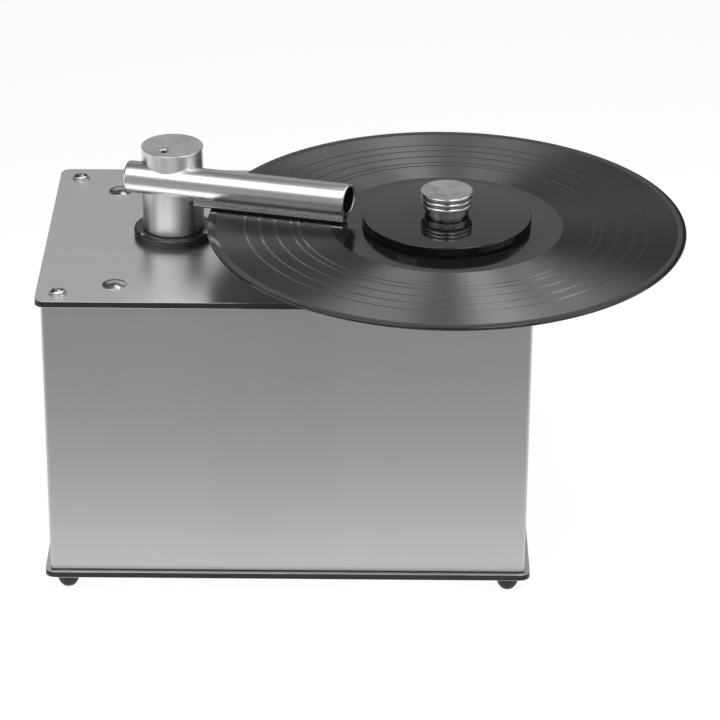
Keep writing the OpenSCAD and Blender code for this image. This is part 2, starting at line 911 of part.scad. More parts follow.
function tooth_half_angle(r, rp, teeth, slack) =
  let (base_r = rp * cos(20))
  let (a = r > base_r ? acos(base_r / r) : 0)
  90 / teeth - slack / rp * 90 / PI + (involute(20) - involute(a)) * 180 / PI;

module gear(teeth, addendum) {
  rp = gear_module * teeth / 2;
  root_r = rp - 1.25 * gear_module;
  tip_r = rp + addendum * gear_module;
  radii = [for (k = [0 : 4]) root_r + (tip_r - root_r) * k / 4];
  half = [for (r = radii) tooth_half_angle(r, rp, teeth, 0.12)];
  outline = [
    for (i = [0 : teeth - 1])
      for (k = [0 : 9])
        let (j = k < 5 ? k : 9 - k)
        let (a = 360 * i / teeth + (k < 5 ? -half[j] : half[j]))
        [radii[j] * cos(a), radii[j] * sin(a)]
  ];
  polygon(outline);
}

module wheel(hub_d, bore_d) {
  difference() {
    union() {
      linear_extrude(gear_t) gear(wheel_teeth, 0.8);
      cylinder(d = hub_d, h = gear_t + 0.6);
    }
    translate([0, 0, -1]) cylinder(d = bore_d, h = gear_t + 3);
  }
}

module at_motor(z = 0) {
  translate([spindle_x, spindle_y + motor_offset, z]) children();
}

module at_idler(z = 0) {
  translate([spindle_x + idler_at[0], spindle_y + idler_at[1], z]) children();
}

// Cup over the gears, open to the motor below
module gearbox_housing() {
  wall = 2;
  roof = 2.5;
  color(metal) difference() {
    at_motor(gear_low) cylinder(d = motor_d, h = gear_top - gear_low);
    at_motor(gear_low - 1) cylinder(d = motor_d - 2 * wall, h = gear_top - gear_low - roof + 1);
    at_spindle(gear_low) cylinder(d = shaft_d + 2 * fit, h = 40);
    at_idler(gear_low) cylinder(d = idler_pin_d + 2 * fit, h = gear_top - gear_low - 1);
  }
}

module motor_can() {
  wall = 1.5;
  color(metal) difference() {
    at_motor(motor_low) cylinder(d = motor_d, h = gear_low - motor_low);
    at_motor(motor_low + 2) cylinder(d = motor_d - 2 * wall, h = gear_low - motor_low - 4);
    at_motor(motor_low - 1) cylinder(d = rotor_shaft_d + 2 * fit, h = 60);
    at_idler(gear_low - 3) cylinder(d = idler_pin_d + 2 * fit, h = 4);
  }
}

module motor_stator() {
  color([0.7, 0.4, 0.2]) at_motor(118) tube(motor_d - 3.1, 38, 32);
}

module motor_rotor() {
  color(metal) at_motor() {
    translate([0, 0, motor_low]) cylinder(d = rotor_shaft_d, h = rotor_level - motor_low + 1);
    translate([0, 0, 120]) cylinder(d = 36, h = 28);
    translate([0, 0, rotor_level - 0.5]) rotate([0, 0, 180 - mesh_angle + 180 / pinion_teeth + 180])
      linear_extrude(gear_t + 1) gear(pinion_teeth, 1);
  }
}

module idler_gear() {
  pinion_low = rotor_level + gear_t;
  color(brass) at_idler() {
    translate([0, 0, gear_low - 1.5]) cylinder(d = idler_pin_d, h = gear_top - gear_low - 0.5);
    translate([0, 0, rotor_level]) rotate([0, 0, 180 - mesh_angle])
      linear_extrude(gear_t) gear(wheel_teeth, 0.8);
    translate([0, 0, pinion_low - eps]) rotate([0, 0, mesh_angle + 180 + 180 / pinion_teeth])
      linear_extrude(output_level + gear_t + 0.5 - pinion_low) gear(pinion_teeth, 1);
  }
}

module output_gear() {
  color(brass) at_spindle(output_level) rotate([0, 0, mesh_angle]) wheel(14, shaft_d + 2 * fit);
}

module fan_mount() {
  color(rubber) at_case(fan_u, fan_v, base_top) tube(90, 60, fan_low - base_top);
}

// Field frame of the vacuum motor with a lower bearing plate and the fan's deck
module fan_frame() {
  color(metal) at_case(fan_u, fan_v, fan_low) difference() {
    union() {
      cylinder(d = 88, h = fan_deck - fan_low - 4);
      translate([0, 0, fan_deck - fan_low - 4]) cylinder(d = fan_d, h = 4);
    }
    translate([0, 0, 3]) cylinder(d = 62, h = fan_deck - fan_low - 7);
    translate([0, 0, -1]) cylinder(d = fan_shaft_d + 2 * fit, h = 60);
    for (k = [0 : 5]) {
      rotate([0, 0, 60 * k]) translate([22, 0, -1]) cylinder(d = 12, h = 5);
    }
  }
}

module fan_housing() {
  wall = 2.5;
  roof = 3;
  color(metal) at_case(fan_u, fan_v, fan_deck) difference() {
    union() {
      rotate_extrude() {
        square([fan_d / 2 - 4, fan_top - fan_deck]);
        square([fan_d / 2, fan_top - fan_deck - 4]);
        translate([fan_d / 2 - 4, fan_top - fan_deck - 4]) circle(4);
      }
      cylinder(d = spigot_d, h = fan_top - fan_deck + 14);
    }
    translate([0, 0, -1]) cylinder(d = fan_d - 2 * wall, h = fan_top - fan_deck - roof - 3);
    cylinder(d = spigot_bore, h = 80);
  }
}

module fan_armature() {
  color(metal) at_case(fan_u, fan_v, 0) {
    translate([0, 0, fan_low]) cylinder(d = fan_shaft_d, h = 94 - fan_low);
    translate([0, 0, 29]) cylinder(d = 56, h = 27);
  }
}

// Two shrouds with blades between them, each blade an arc from the eye to the rim
module fan_impeller() {
  low = fan_deck + 4;
  d = fan_d - 14;
  blade_h = 20;
  blade_t = 1.5;
  shroud_t = 1.5;
  eye_r = 22;
  arc_r = 30;
  arc_at = 36;
  arc_in = acos((arc_at * arc_at + arc_r * arc_r - eye_r * eye_r) / (2 * arc_at * arc_r));
  arc_out = acos((arc_at * arc_at + arc_r * arc_r - (d / 2 - 1) * (d / 2 - 1)) / (2 * arc_at * arc_r));
  color(bright) at_case(fan_u, fan_v, low) difference() {
    union() {
      cylinder(d = d, h = shroud_t);
      translate([0, 0, shroud_t + blade_h]) tube(d, 40, shroud_t);
      cylinder(d = 18, h = 22);
      for (k = [0 : fan_blades - 1]) {
        rotate([0, 0, 360 * k / fan_blades]) translate([arc_at, 0, shroud_t - eps])
          rotate([0, 0, 180 + arc_in]) rotate_extrude(angle = arc_out - arc_in)
            translate([arc_r - blade_t / 2, 0]) square([blade_t, blade_h + 2 * eps]);
      }
    }
    translate([0, 0, -1]) cylinder(d = fan_shaft_d + 2 * fit, h = 40);
  }
}

// Bezels on the left wall with the open switch bodies behind them
module switch_bodies() {
  depth = 15;
  color(black) for (v = switch_v) {
    at_case(overhang, v, switch_z) difference() {
      union() {
        translate([-bezel_t, -switch_w / 2, -switch_h / 2]) cube([bezel_t, switch_w, switch_h]);
        translate([-eps, -6.5, -9.5]) cube([depth, 13, 19]);
      }
      translate([-bezel_t - 1, -rocker_w / 2 - 0.3, -rocker_h / 2 - 0.5])
        cube([depth - 1, rocker_w + 0.6, rocker_h + 1]);
    }
    at_case(overhang + rocker_pivot, v + 6.4, switch_z) rotate([90, 0, 0])
      cylinder(d = rocker_pin_d, h = 12.8);
  }
}

// Rocker section: two faces that meet in a shallow valley, on a round back with a pin bore
module rocker(v, tilt) {
  half = rocker_h / 2 - rocker_play;
  valley = -rocker_pivot - 0.5;
  tip = valley - 1.1;
  back = -2;
  color(black) at_case(overhang + rocker_pivot, v, switch_z) rotate([0, tilt, 0]) rotate([90, 0, 0])
    difference() {
      translate([0, 0, -rocker_w / 2]) union() {
        linear_extrude(rocker_w)
          polygon([[tip, -half], [valley, 0], [tip, half], [back, half], [back, -half]]);
        cylinder(r = 4.5, h = rocker_w);
      }
      cylinder(d = rocker_pin_d + 2 * fit, h = rocker_w + 2, center = true);
    }
}

module motor_rocker() {
  rocker(switch_v[0], 0);
}

module vacuum_rocker() {
  rocker(switch_v[1], rocker_tilt);
}

module mains_inlet() {
  face_t = 2.5;
  depth = 20;
  cavity = 16;
  color(black) at_case(inlet_u, wall_back, inlet_z) difference() {
    union() {
      translate([-inlet_w / 2, 0, -inlet_h / 2]) cube([inlet_w, face_t, inlet_h]);
      translate([-13.3, -depth, -9.8]) cube([26.6, depth + eps, 19.6]);
    }
    translate([-11.5, face_t - cavity, -7.5]) cube([23, cavity + 1, 15]);
    for (p = [[-7, -2], [0, 2], [7, -2]]) {
      translate([p[0] - 1.05, -depth - 1, p[1] - 2.05]) cube([2.1, depth, 4.1]);
    }
  }
}

module inlet_pins() {
  color(bright) for (p = [[-7, -2], [0, 2], [7, -2]]) {
    at_case(inlet_u + p[0] - 1, wall_back - 24, inlet_z + p[1] - 2) cube([2, 19, 4]);
  }
}

// Tail into the tank, flange on the rear panel, body with a plug bore, and a hose spout
module drain_tap() {
  body_end = 20;
  tail = wall_back - tank_front - tank_d + tank_wall;
  color(brass) at_case(tap_u, wall_back, tap_z) difference() {
    union() {
      translate([0, tap_reach, 0]) rotate([90, 0, 0]) cylinder(d = spout_d, h = tap_reach);
      translate([0, body_end, 0]) rotate([90, 0, 0]) cylinder(d = 17, h = body_end);
      translate([0, 3, 0]) rotate([90, 0, 0]) cylinder(d = 22, h = 3);
      translate([0, eps, 0]) rotate([90, 0, 0]) cylinder(d = tap_tail_d, h = tail);
    }
    translate([0, tap_reach + 1, 0]) rotate([90, 0, 0]) cylinder(d = 7, h = 80);
    translate([0, 12, -20]) cylinder(d = tap_plug_d + 2 * fit, h = 40);
  }
}

module tap_plug() {
  color(black) at_case(tap_u, wall_back + 12, tap_z) {
    difference() {
      translate([0, 0, -8]) cylinder(d = tap_plug_d, h = 19);
      rotate([0, 90, 0]) cylinder(d = 7, h = 20, center = true);
    }
    difference() {
      translate([-5, -4, 9.5]) cube([26, 8, 3.5]);
      translate([17, 0, 0]) cylinder(d = 3.5, h = 30);
    }
  }
}

// Routes of the wires, in case coordinates
wire_r = 1.6;
wire_routes = [
  [[261, 180.5, 44], [261, 170, 40], [260, 150, 24], [258, 120, 19], [252, 84, 19],
   [236, 72, 20], [214, 72, 23], [212, 84, 34], [212, 98, 42]],
  [[18, 46, 162], [26, 46, 158], [32, 52, 140], [34, 70, 90], [36, 72, 42],
   [52, 70, 24], [90, 66, 19], [140, 60, 19], [200, 58, 20], [240, 62, 33],
   [248, 70, 70], [250, 76, 100], [250, 77, 112]],
  [[18, 74, 162], [26, 74, 158], [32, 80, 140], [34, 100, 90], [36, 110, 42],
   [50, 116, 24], [90, 118, 19], [130, 116, 20], [141, 124, 23], [147.4, 132, 34]]
];

module wiring_loom() {
  color([0.15, 0.15, 0.17]) for (route = wire_routes) {
    swept_tube(route_frames([
      for (p = smooth_route(route, 3)) [case_left + p[0], case_front + p[1], p[2]]
    ]), wire_r, 8);
  }
}

top_panel();
base_panel();
front_shell();
foot_gasket();
rear_panel();
rear_screws();
corner_posts();
corner_screws();
feet();
foot_screws();
hanger_bolts();
hanger_nuts();
waste_tank();
tank_lid();
lid_gasket();
lid_seal();
suction_hose();
arm_flange();
deck_screws();
guide_sleeve();
sleeve_nut();
lift_spring();
thrust_washer();
suction_post();
arm_column();
column_screw();
wand_tube();
wand_plug();
tip_plug();
suction_lip();
velvet_strips();
bearing_bush();
spindle();
platter();
platter_mat();
record();
record_label();
clamp_seal();
clamp_disc();
clamp_knob();
motor_bracket();
gearbox_housing();
motor_can();
motor_stator();
motor_rotor();
idler_gear();
output_gear();
fan_mount();
fan_frame();
fan_housing();
fan_armature();
fan_impeller();
switch_bodies();
motor_rocker();
vacuum_rocker();
mains_inlet();
inlet_pins();
drain_tap();
tap_plug();
wiring_loom();
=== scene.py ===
"""Record cleaning machine: the looks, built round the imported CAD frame.

Sizes inside the classes are in millimetres, in the same frame as the CAD, and turn into
metres when a mesh is made. A surface is a grid of points worked out as whole arrays: a
profile turned round an axis, or a section carried along a path.
"""

from __future__ import annotations

import json
import logging
import math
from dataclasses import dataclass, field
from enum import Enum

import bmesh
import bpy
import numpy as np
from mathutils import Matrix, Vector

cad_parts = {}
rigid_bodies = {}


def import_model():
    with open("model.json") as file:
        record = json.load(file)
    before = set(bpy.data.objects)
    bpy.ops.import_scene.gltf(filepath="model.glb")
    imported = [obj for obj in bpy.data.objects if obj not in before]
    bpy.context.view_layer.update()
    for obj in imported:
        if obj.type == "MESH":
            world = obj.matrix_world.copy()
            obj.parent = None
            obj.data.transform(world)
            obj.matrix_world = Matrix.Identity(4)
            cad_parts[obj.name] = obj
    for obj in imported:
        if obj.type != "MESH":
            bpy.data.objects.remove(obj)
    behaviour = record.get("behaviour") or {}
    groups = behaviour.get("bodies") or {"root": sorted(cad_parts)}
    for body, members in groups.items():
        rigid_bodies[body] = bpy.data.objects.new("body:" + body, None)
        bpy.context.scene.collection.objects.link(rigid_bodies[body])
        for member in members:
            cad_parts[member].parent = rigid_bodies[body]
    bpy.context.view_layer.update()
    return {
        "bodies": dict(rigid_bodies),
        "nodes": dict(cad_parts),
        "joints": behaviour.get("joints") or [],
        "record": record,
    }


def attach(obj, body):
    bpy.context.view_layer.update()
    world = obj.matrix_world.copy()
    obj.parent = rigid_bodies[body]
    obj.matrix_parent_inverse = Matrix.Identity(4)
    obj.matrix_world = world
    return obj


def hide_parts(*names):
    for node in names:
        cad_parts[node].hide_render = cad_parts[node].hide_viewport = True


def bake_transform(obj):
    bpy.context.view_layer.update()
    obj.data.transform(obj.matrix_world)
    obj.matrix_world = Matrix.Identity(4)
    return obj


log = logging.getLogger("scene")
MM = 0.001
Color = tuple[float, float, float]
Point = tuple[float, float, float]


# ------------------------------------------------------------------ sizes


@dataclass(frozen=True)
class Layout:
    """Places and sizes that the sub-assemblies share, in millimetres."""

    case_left: float = -202.95
    case_front: float = -73.95
    case_w: float = 311.8
    case_d: float = 207.3
    corner_r: float = 6.5
    foot_h: float = 11.5
    panel_t: float = 4.0
    wall_h: float = 188.3
    overhang: float = 3.5
    sheet_t: float = 2.0
    bend_r: float = 2.5
    spindle_u: float = 255.1
    spindle_v: float = 62.4
    column_u: float = 80.9
    column_v: float = 103.65
    record_rise: float = 27.0
    corner_side: float = 14.0
    corner_front: float = 12.5
    corner_back: float = 15.0

    @property
    def base_top(self) -> float:
        """Height of the base panel's top face."""
        return self.foot_h + self.panel_t

    @property
    def deck_low(self) -> float:
        """Height of the top panel's lower face."""
        return self.base_top + self.wall_h

    @property
    def deck(self) -> float:
        """Height of the top panel's upper face."""
        return self.deck_low + self.panel_t

    @property
    def record_top(self) -> float:
        """Height of the record's upper face."""
        return self.deck + self.record_rise

    @property
    def spindle(self) -> tuple[float, float]:
        """Place of the spindle's axis."""
        return self.case_left + self.spindle_u, self.case_front + self.spindle_v

    @property
    def column(self) -> tuple[float, float]:
        """Place of the arm column's axis."""
        return self.case_left + self.column_u, self.case_front + self.column_v

    @property
    def centre(self) -> tuple[float, float]:
        """Middle of the panels."""
        return self.case_left + self.case_w / 2, self.case_front + self.case_d / 2

    def corners(self) -> np.ndarray:
        """Places of the four corner screws and feet, one row each."""
        u = self.case_left + np.array([self.corner_side, self.case_w - self.corner_side])
        v = self.case_front + np.array([self.corner_front, self.case_d - self.corner_back])
        return np.stack(np.meshgrid(u, v), -1).reshape(-1, 2)


LAY = Layout()


# --------------------------------------------------------------- surfaces


@dataclass
class Surface:
    """A grid of points with its four-sided faces and the map that a pattern can follow."""

    points: np.ndarray
    faces: np.ndarray
    uv: np.ndarray


def grid(points: np.ndarray, keep: np.ndarray | None = None, uv: np.ndarray | None = None) -> Surface:
    """Joins a grid of points into faces, each from four neighbours.

    Args:
        points: array of rows by columns by three.
        keep: which cells get a face; all of them if left out.
        uv: map of rows by columns by two; row and column numbers if left out.
    Returns:
        The surface.
    """
    rows, cols = points.shape[:2]
    index = np.arange(rows * cols).reshape(rows, cols)
    faces = np.stack([index[:-1, :-1], index[:-1, 1:], index[1:, 1:], index[1:, :-1]], -1)
    faces = faces[keep] if keep is not None else faces.reshape(-1, 4)
    if uv is None:
        uv = np.stack(np.meshgrid(np.linspace(0, 1, cols), np.linspace(0, 1, rows)), -1)
    return Surface(points.reshape(-1, 3), faces.reshape(-1, 4), uv.reshape(-1, 2))


def rounded(corners: list[tuple[float, ...]], steps: int = 6, closed: bool = False) -> np.ndarray:
    """Rounds the corners of a path, each by its own radius.

    At a corner the arc's centre lies on the bisector, a radius over the sine of the half
    angle away, and the arc runs between the two points where it touches the sides.

    Args:
        corners: (x, y) or (x, y, radius) for each corner.
        steps: pieces in each arc.
        closed: whether the last corner joins the first.
    Returns:
        Array of points by two.
    """
    places = np.array([c[:2] for c in corners], float)
    radii = [c[2] if len(c) > 2 else 0.0 for c in corners]
    count, out = len(places), []
    for i, (place, radius) in enumerate(zip(places, radii)):
        if radius <= 0 or (not closed and i in (0, count - 1)):
            out.append(place[None])
            continue
        back, ahead = places[i - 1] - place, places[(i + 1) % count] - place
        back, ahead = back / np.linalg.norm(back), ahead / np.linalg.norm(ahead)
        half = math.acos(float(np.clip(back @ ahead, -1, 1))) / 2
        bisector = (back + ahead) / np.linalg.norm(back + ahead)
        centre = place + bisector * radius / math.sin(half)
        first = place + back * radius / math.tan(half) - centre
        last = place + ahead * radius / math.tan(half) - centre
        t, turn = np.linspace(0, 1, steps + 1)[:, None], math.pi - 2 * half
        out.append(centre + (np.sin((1 - t) * turn) * first + np.sin(t * turn) * last) / math.sin(turn))
    return np.concatenate(out)


def lathe(profile: np.ndarray, centre: tuple[float, float], z: float = 0.0, turns: int = 128) -> Surface:
    """Turns a profile round an upright axis.

    A point at angle a is (x + r cos a, y + r sin a, z + h) for each (r, h) of the profile.

    Args:
        profile: array of points by (radius, height).
        centre: the axis.
        z: height added to the profile.
        turns: columns round the axis.
    Returns:
        The surface.
    """
    a = np.linspace(0, 2 * math.pi, turns + 1)[None, :]
    r, h = profile[:, 0][:, None], profile[:, 1][:, None]
    points = np.stack([centre[0] + r * np.cos(a), centre[1] + r * np.sin(a), z + h + 0 * a], -1)
    return grid(points)


def copies(surface: Surface, places: np.ndarray) -> Surface:
    """Repeats a surface at each of several places in plan.

    Args:
        surface: made round the origin.
        places: array of places by two.
    Returns:
        One surface that holds every copy.
    """
    shift = np.concatenate([places, np.zeros((len(places), 1))], 1)
    points = (surface.points[None] + shift[:, None]).reshape(-1, 3)
    step = (np.arange(len(places)) * len(surface.points))[:, None, None]
    faces = (surface.faces[None] + step).reshape(-1, 4)
    return Surface(points, faces, np.tile(surface.uv, (len(places), 1)))


def rectangle(w: float, d: float, r: float, steps: int = 8) -> np.ndarray:
    """Outline of a rounded rectangle about the origin, first point repeated at the end."""
    x, y = w / 2, d / 2
    path = rounded([(-x, -y, r), (x, -y, r), (x, y, r), (-x, y, r)], steps, closed=True)
    return np.concatenate([path, path[:1]])


def slab(w: float, d: float, r: float, edge: list[tuple[float, float]], centre: tuple[float, float]) -> Surface:
    """A flat plate whose edge follows a profile all the way round.

    Each edge point moves the outline inwards by its inset, at its height; the two faces
    are the first and last outline drawn in towards the middle.

    Args:
        w: width of the outline.
        d: depth of the outline.
        r: corner radius.
        edge: (inset, height) from the lower face to the upper one.
        centre: middle of the plate.
    Returns:
        The closed surface.
    """
    rings = [rectangle(w - 2 * e, d - 2 * e, max(r - e, 0.2)) for e, _ in edge]
    heights = [h for _, h in edge]
    inner = [0.0, 0.35, 0.7]
    rings = [rings[0] * s for s in inner] + rings + [rings[-1] * s for s in inner[::-1]]
    heights = [heights[0]] * 3 + heights + [heights[-1]] * 3
    plan = np.stack(rings) + np.array(centre)
    points = np.concatenate([plan, np.broadcast_to(np.array(heights)[:, None, None], plan.shape[:2] + (1,))], -1)
    return grid(points)


def along(path: np.ndarray, radii: np.ndarray, sides: int = 16) -> Surface:
    """A tube carried along a path in space.

    The first side vector is square to the path, and each next one is the last one with
    its part along the path taken out, so that the tube doesn't twist.

    Args:
        path: array of points by three.
        radii: radius at each point.
        sides: columns round the tube.
    Returns:
        The surface, open at both ends.
    """
    run = np.gradient(path, axis=0)
    run /= np.linalg.norm(run, axis=1)[:, None]
    side = np.cross(run[0], [0.0, 0.0, 1.0] if abs(run[0][2]) < 0.9 else [1.0, 0.0, 0.0])
    frames = []
    for direction in run:
        side = side - (side @ direction) * direction
        side = side / np.linalg.norm(side)
        frames.append((side, np.cross(direction, side)))
    u, v = (np.array([f[k] for f in frames]) for k in (0, 1))
    a = np.linspace(0, 2 * math.pi, sides + 1)[None, :, None]
    points = path[:, None] + radii[:, None, None] * (np.cos(a) * u[:, None] + np.sin(a) * v[:, None])
    length = np.concatenate([[0], np.cumsum(np.linalg.norm(np.diff(path, axis=0), axis=1))])
    uv = np.stack(np.broadcast_arrays(length[:, None] * MM, np.linspace(0, 1, sides + 1)[None, :]), -1)
    return grid(points, uv=uv)


def smooth_route(knots: np.ndarray, steps: int) -> np.ndarray:
    """A smooth curve through every knot: the cubic through four neighbours, piece by piece.

    Args:
        knots: array of points by three.
        steps: points on each piece.
    Returns:
        Array of points by three.
    """
    p = np.concatenate([knots[:1], knots, knots[-1:]])
    a, b, c, d = (p[k : k + len(knots) - 1][:, None] for k in range(4))
    t = (np.arange(steps) / steps)[None, :, None]
    curve = 0.5 * (2 * b + t * (c - a) + t**2 * (2 * a - 5 * b + 4 * c - d) + t**3 * (3 * b - a - 3 * c + d))
    return np.concatenate([curve.reshape(-1, 3), knots[-1:]])


def make_piece(
    name: str,
    surfaces: list[Surface],
    finish: "Finish | list[Finish]",
    body: str,
    stands_for: tuple[str, ...] = (),
    sharp: float = 32.0,
) -> bpy.types.Object:
    """Makes one object from surfaces, with its finish, and ties it to its CAD body.

    Args:
        name: the piece's name.
        surfaces: what it is made of.
        finish: its material, or one for each surface.
        body: the CAD body that it moves with; empty to leave it on no body.
        stands_for: CAD nodes that it replaces.
        sharp: angle in degrees above which an edge shades as a hard one.
    Returns:
        The object, at the origin.
    """
    points = np.concatenate([s.points for s in surfaces]) * MM
    starts = np.cumsum([0] + [len(s.points) for s in surfaces])[:-1]
    faces = np.concatenate([s.faces + start for s, start in zip(surfaces, starts)])
    uv = np.concatenate([s.uv for s in surfaces])
    mesh = bpy.data.meshes.new(name)
    mesh.from_pydata(points, [], faces)
    layer = mesh.uv_layers.new(name="map")
    loops = np.zeros(len(mesh.loops), np.int32)
    mesh.loops.foreach_get("vertex_index", loops)
    layer.data.foreach_set("uv", uv[loops].astype(np.float32).ravel())
    work = bmesh.new()
    work.from_mesh(mesh)
    if isinstance(finish, list):
        sizes = [len(s.faces) for s in surfaces]
        for face, index in zip(work.faces, np.repeat(np.arange(len(sizes)), sizes)):
            face.material_index = int(index)
    bmesh.ops.remove_doubles(work, verts=work.verts, dist=2e-6)
    bmesh.ops.dissolve_degenerate(work, edges=work.edges, dist=1e-7)
    bmesh.ops.recalc_face_normals(work, faces=work.faces)
    work.to_mesh(mesh)
    work.free()
    mesh.polygons.foreach_set("use_smooth", np.ones(len(mesh.polygons), bool))
    mesh.set_sharp_from_angle(angle=math.radians(sharp))
    finishes = finish if isinstance(finish, list) else [finish]
    for each in finishes:
        mesh.materials.append(each.material())
    piece = bpy.data.objects.new(name, mesh)
    bpy.context.scene.collection.objects.link(piece)
    if body:
        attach(piece, body)
    if stands_for:
        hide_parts(*stands_for)
    log.info("piece %s: %d faces on %s", name, len(mesh.polygons), body or "two bodies")
    return piece


# ------------------------------------------------------------ node groups


class Pattern(Enum):
    """The textures that a finish can carry."""

    GRAIN = "Fine grain"
    BRUSHED = "Brushed left to right"
    TURNED = "Turned rings"
    SLEEVE = "Rings round a tube"


class Wiring:
    """Adds and links nodes in one tree."""

    def __init__(self, tree: bpy.types.NodeTree) -> None:
        """Keeps the tree."""
        self.tree = tree

    def add(self, kind: str, **values: object) -> bpy.types.Node:
        """Adds a node and sets its plain properties."""
        node = self.tree.nodes.new(kind)
        for key, value in values.items():
            setattr(node, key, value)
        return node

    def link(self, source: bpy.types.NodeSocket, target: bpy.types.NodeSocket) -> None:
        """Links one socket to another."""
        self.tree.links.new(source, target)

    def math(self, operation: str, *terms: object) -> bpy.types.NodeSocket:
        """A Math node on sockets and plain numbers.

        Args:
            operation: Blender's name for it.
            terms: sockets or numbers, in order.
        Returns:
            The result's socket.
        """
        node = self.add("ShaderNodeMath", operation=operation)
        for socket, term in zip(node.inputs, terms):
            if isinstance(term, bpy.types.NodeSocket):
                self.link(term, socket)
            else:
                socket.default_value = term
        return node.outputs[0]

    def vector(self, operation: str, *terms: object) -> bpy.types.Node:
        """A Vector Math node on sockets and plain values.

        Args:
            operation: Blender's name for it.
            terms: sockets, vectors or numbers, in order.
        Returns:
            The node.
        """
        node = self.add("ShaderNodeVectorMath", operation=operation)
        for socket, term in zip(node.inputs, terms):
            if isinstance(term, bpy.types.NodeSocket):
                self.link(term, socket)
            else:
                socket.default_value = term
        return node

    def noise(self, where: bpy.types.NodeSocket, scale: float, detail: float, rough: float = 0.5) -> bpy.types.NodeSocket:
        """A noise value read at a place.

        Args:
            where: the place.
            scale: how often it repeats.
            detail: octaves.
            rough: strength of each next octave.
        Returns:
            The value's socket.
        """
        node = self.add("ShaderNodeTexNoise")
        self.link(where, node.inputs["Vector"])
        node.inputs["Scale"].default_value = scale
        node.inputs["Detail"].default_value = detail
        node.inputs["Roughness"].default_value = rough
        return node.outputs[0]


def open_group(name: str, inputs: dict[str, str]) -> tuple[bpy.types.NodeTree, Wiring, bpy.types.Node, bpy.types.Node]:
    """Starts a shader node group that puts out two values over the surface.

    Args:
        name: the group's name.
        inputs: socket type for each input's name.
    Returns:
        The tree, its wiring, and its input and output nodes.
    """
    tree = bpy.data.node_groups.new(name, "ShaderNodeTree")
    for label, kind in inputs.items():
        tree.interface.new_socket(name=label, in_out="INPUT", socket_type=kind)
    for label in ("Line", "Patch"):
        tree.interface.new_socket(name=label, in_out="OUTPUT", socket_type="NodeSocketFloat")
    wires = Wiring(tree)
    return tree, wires, wires.add("NodeGroupInput"), wires.add("NodeGroupOutput")


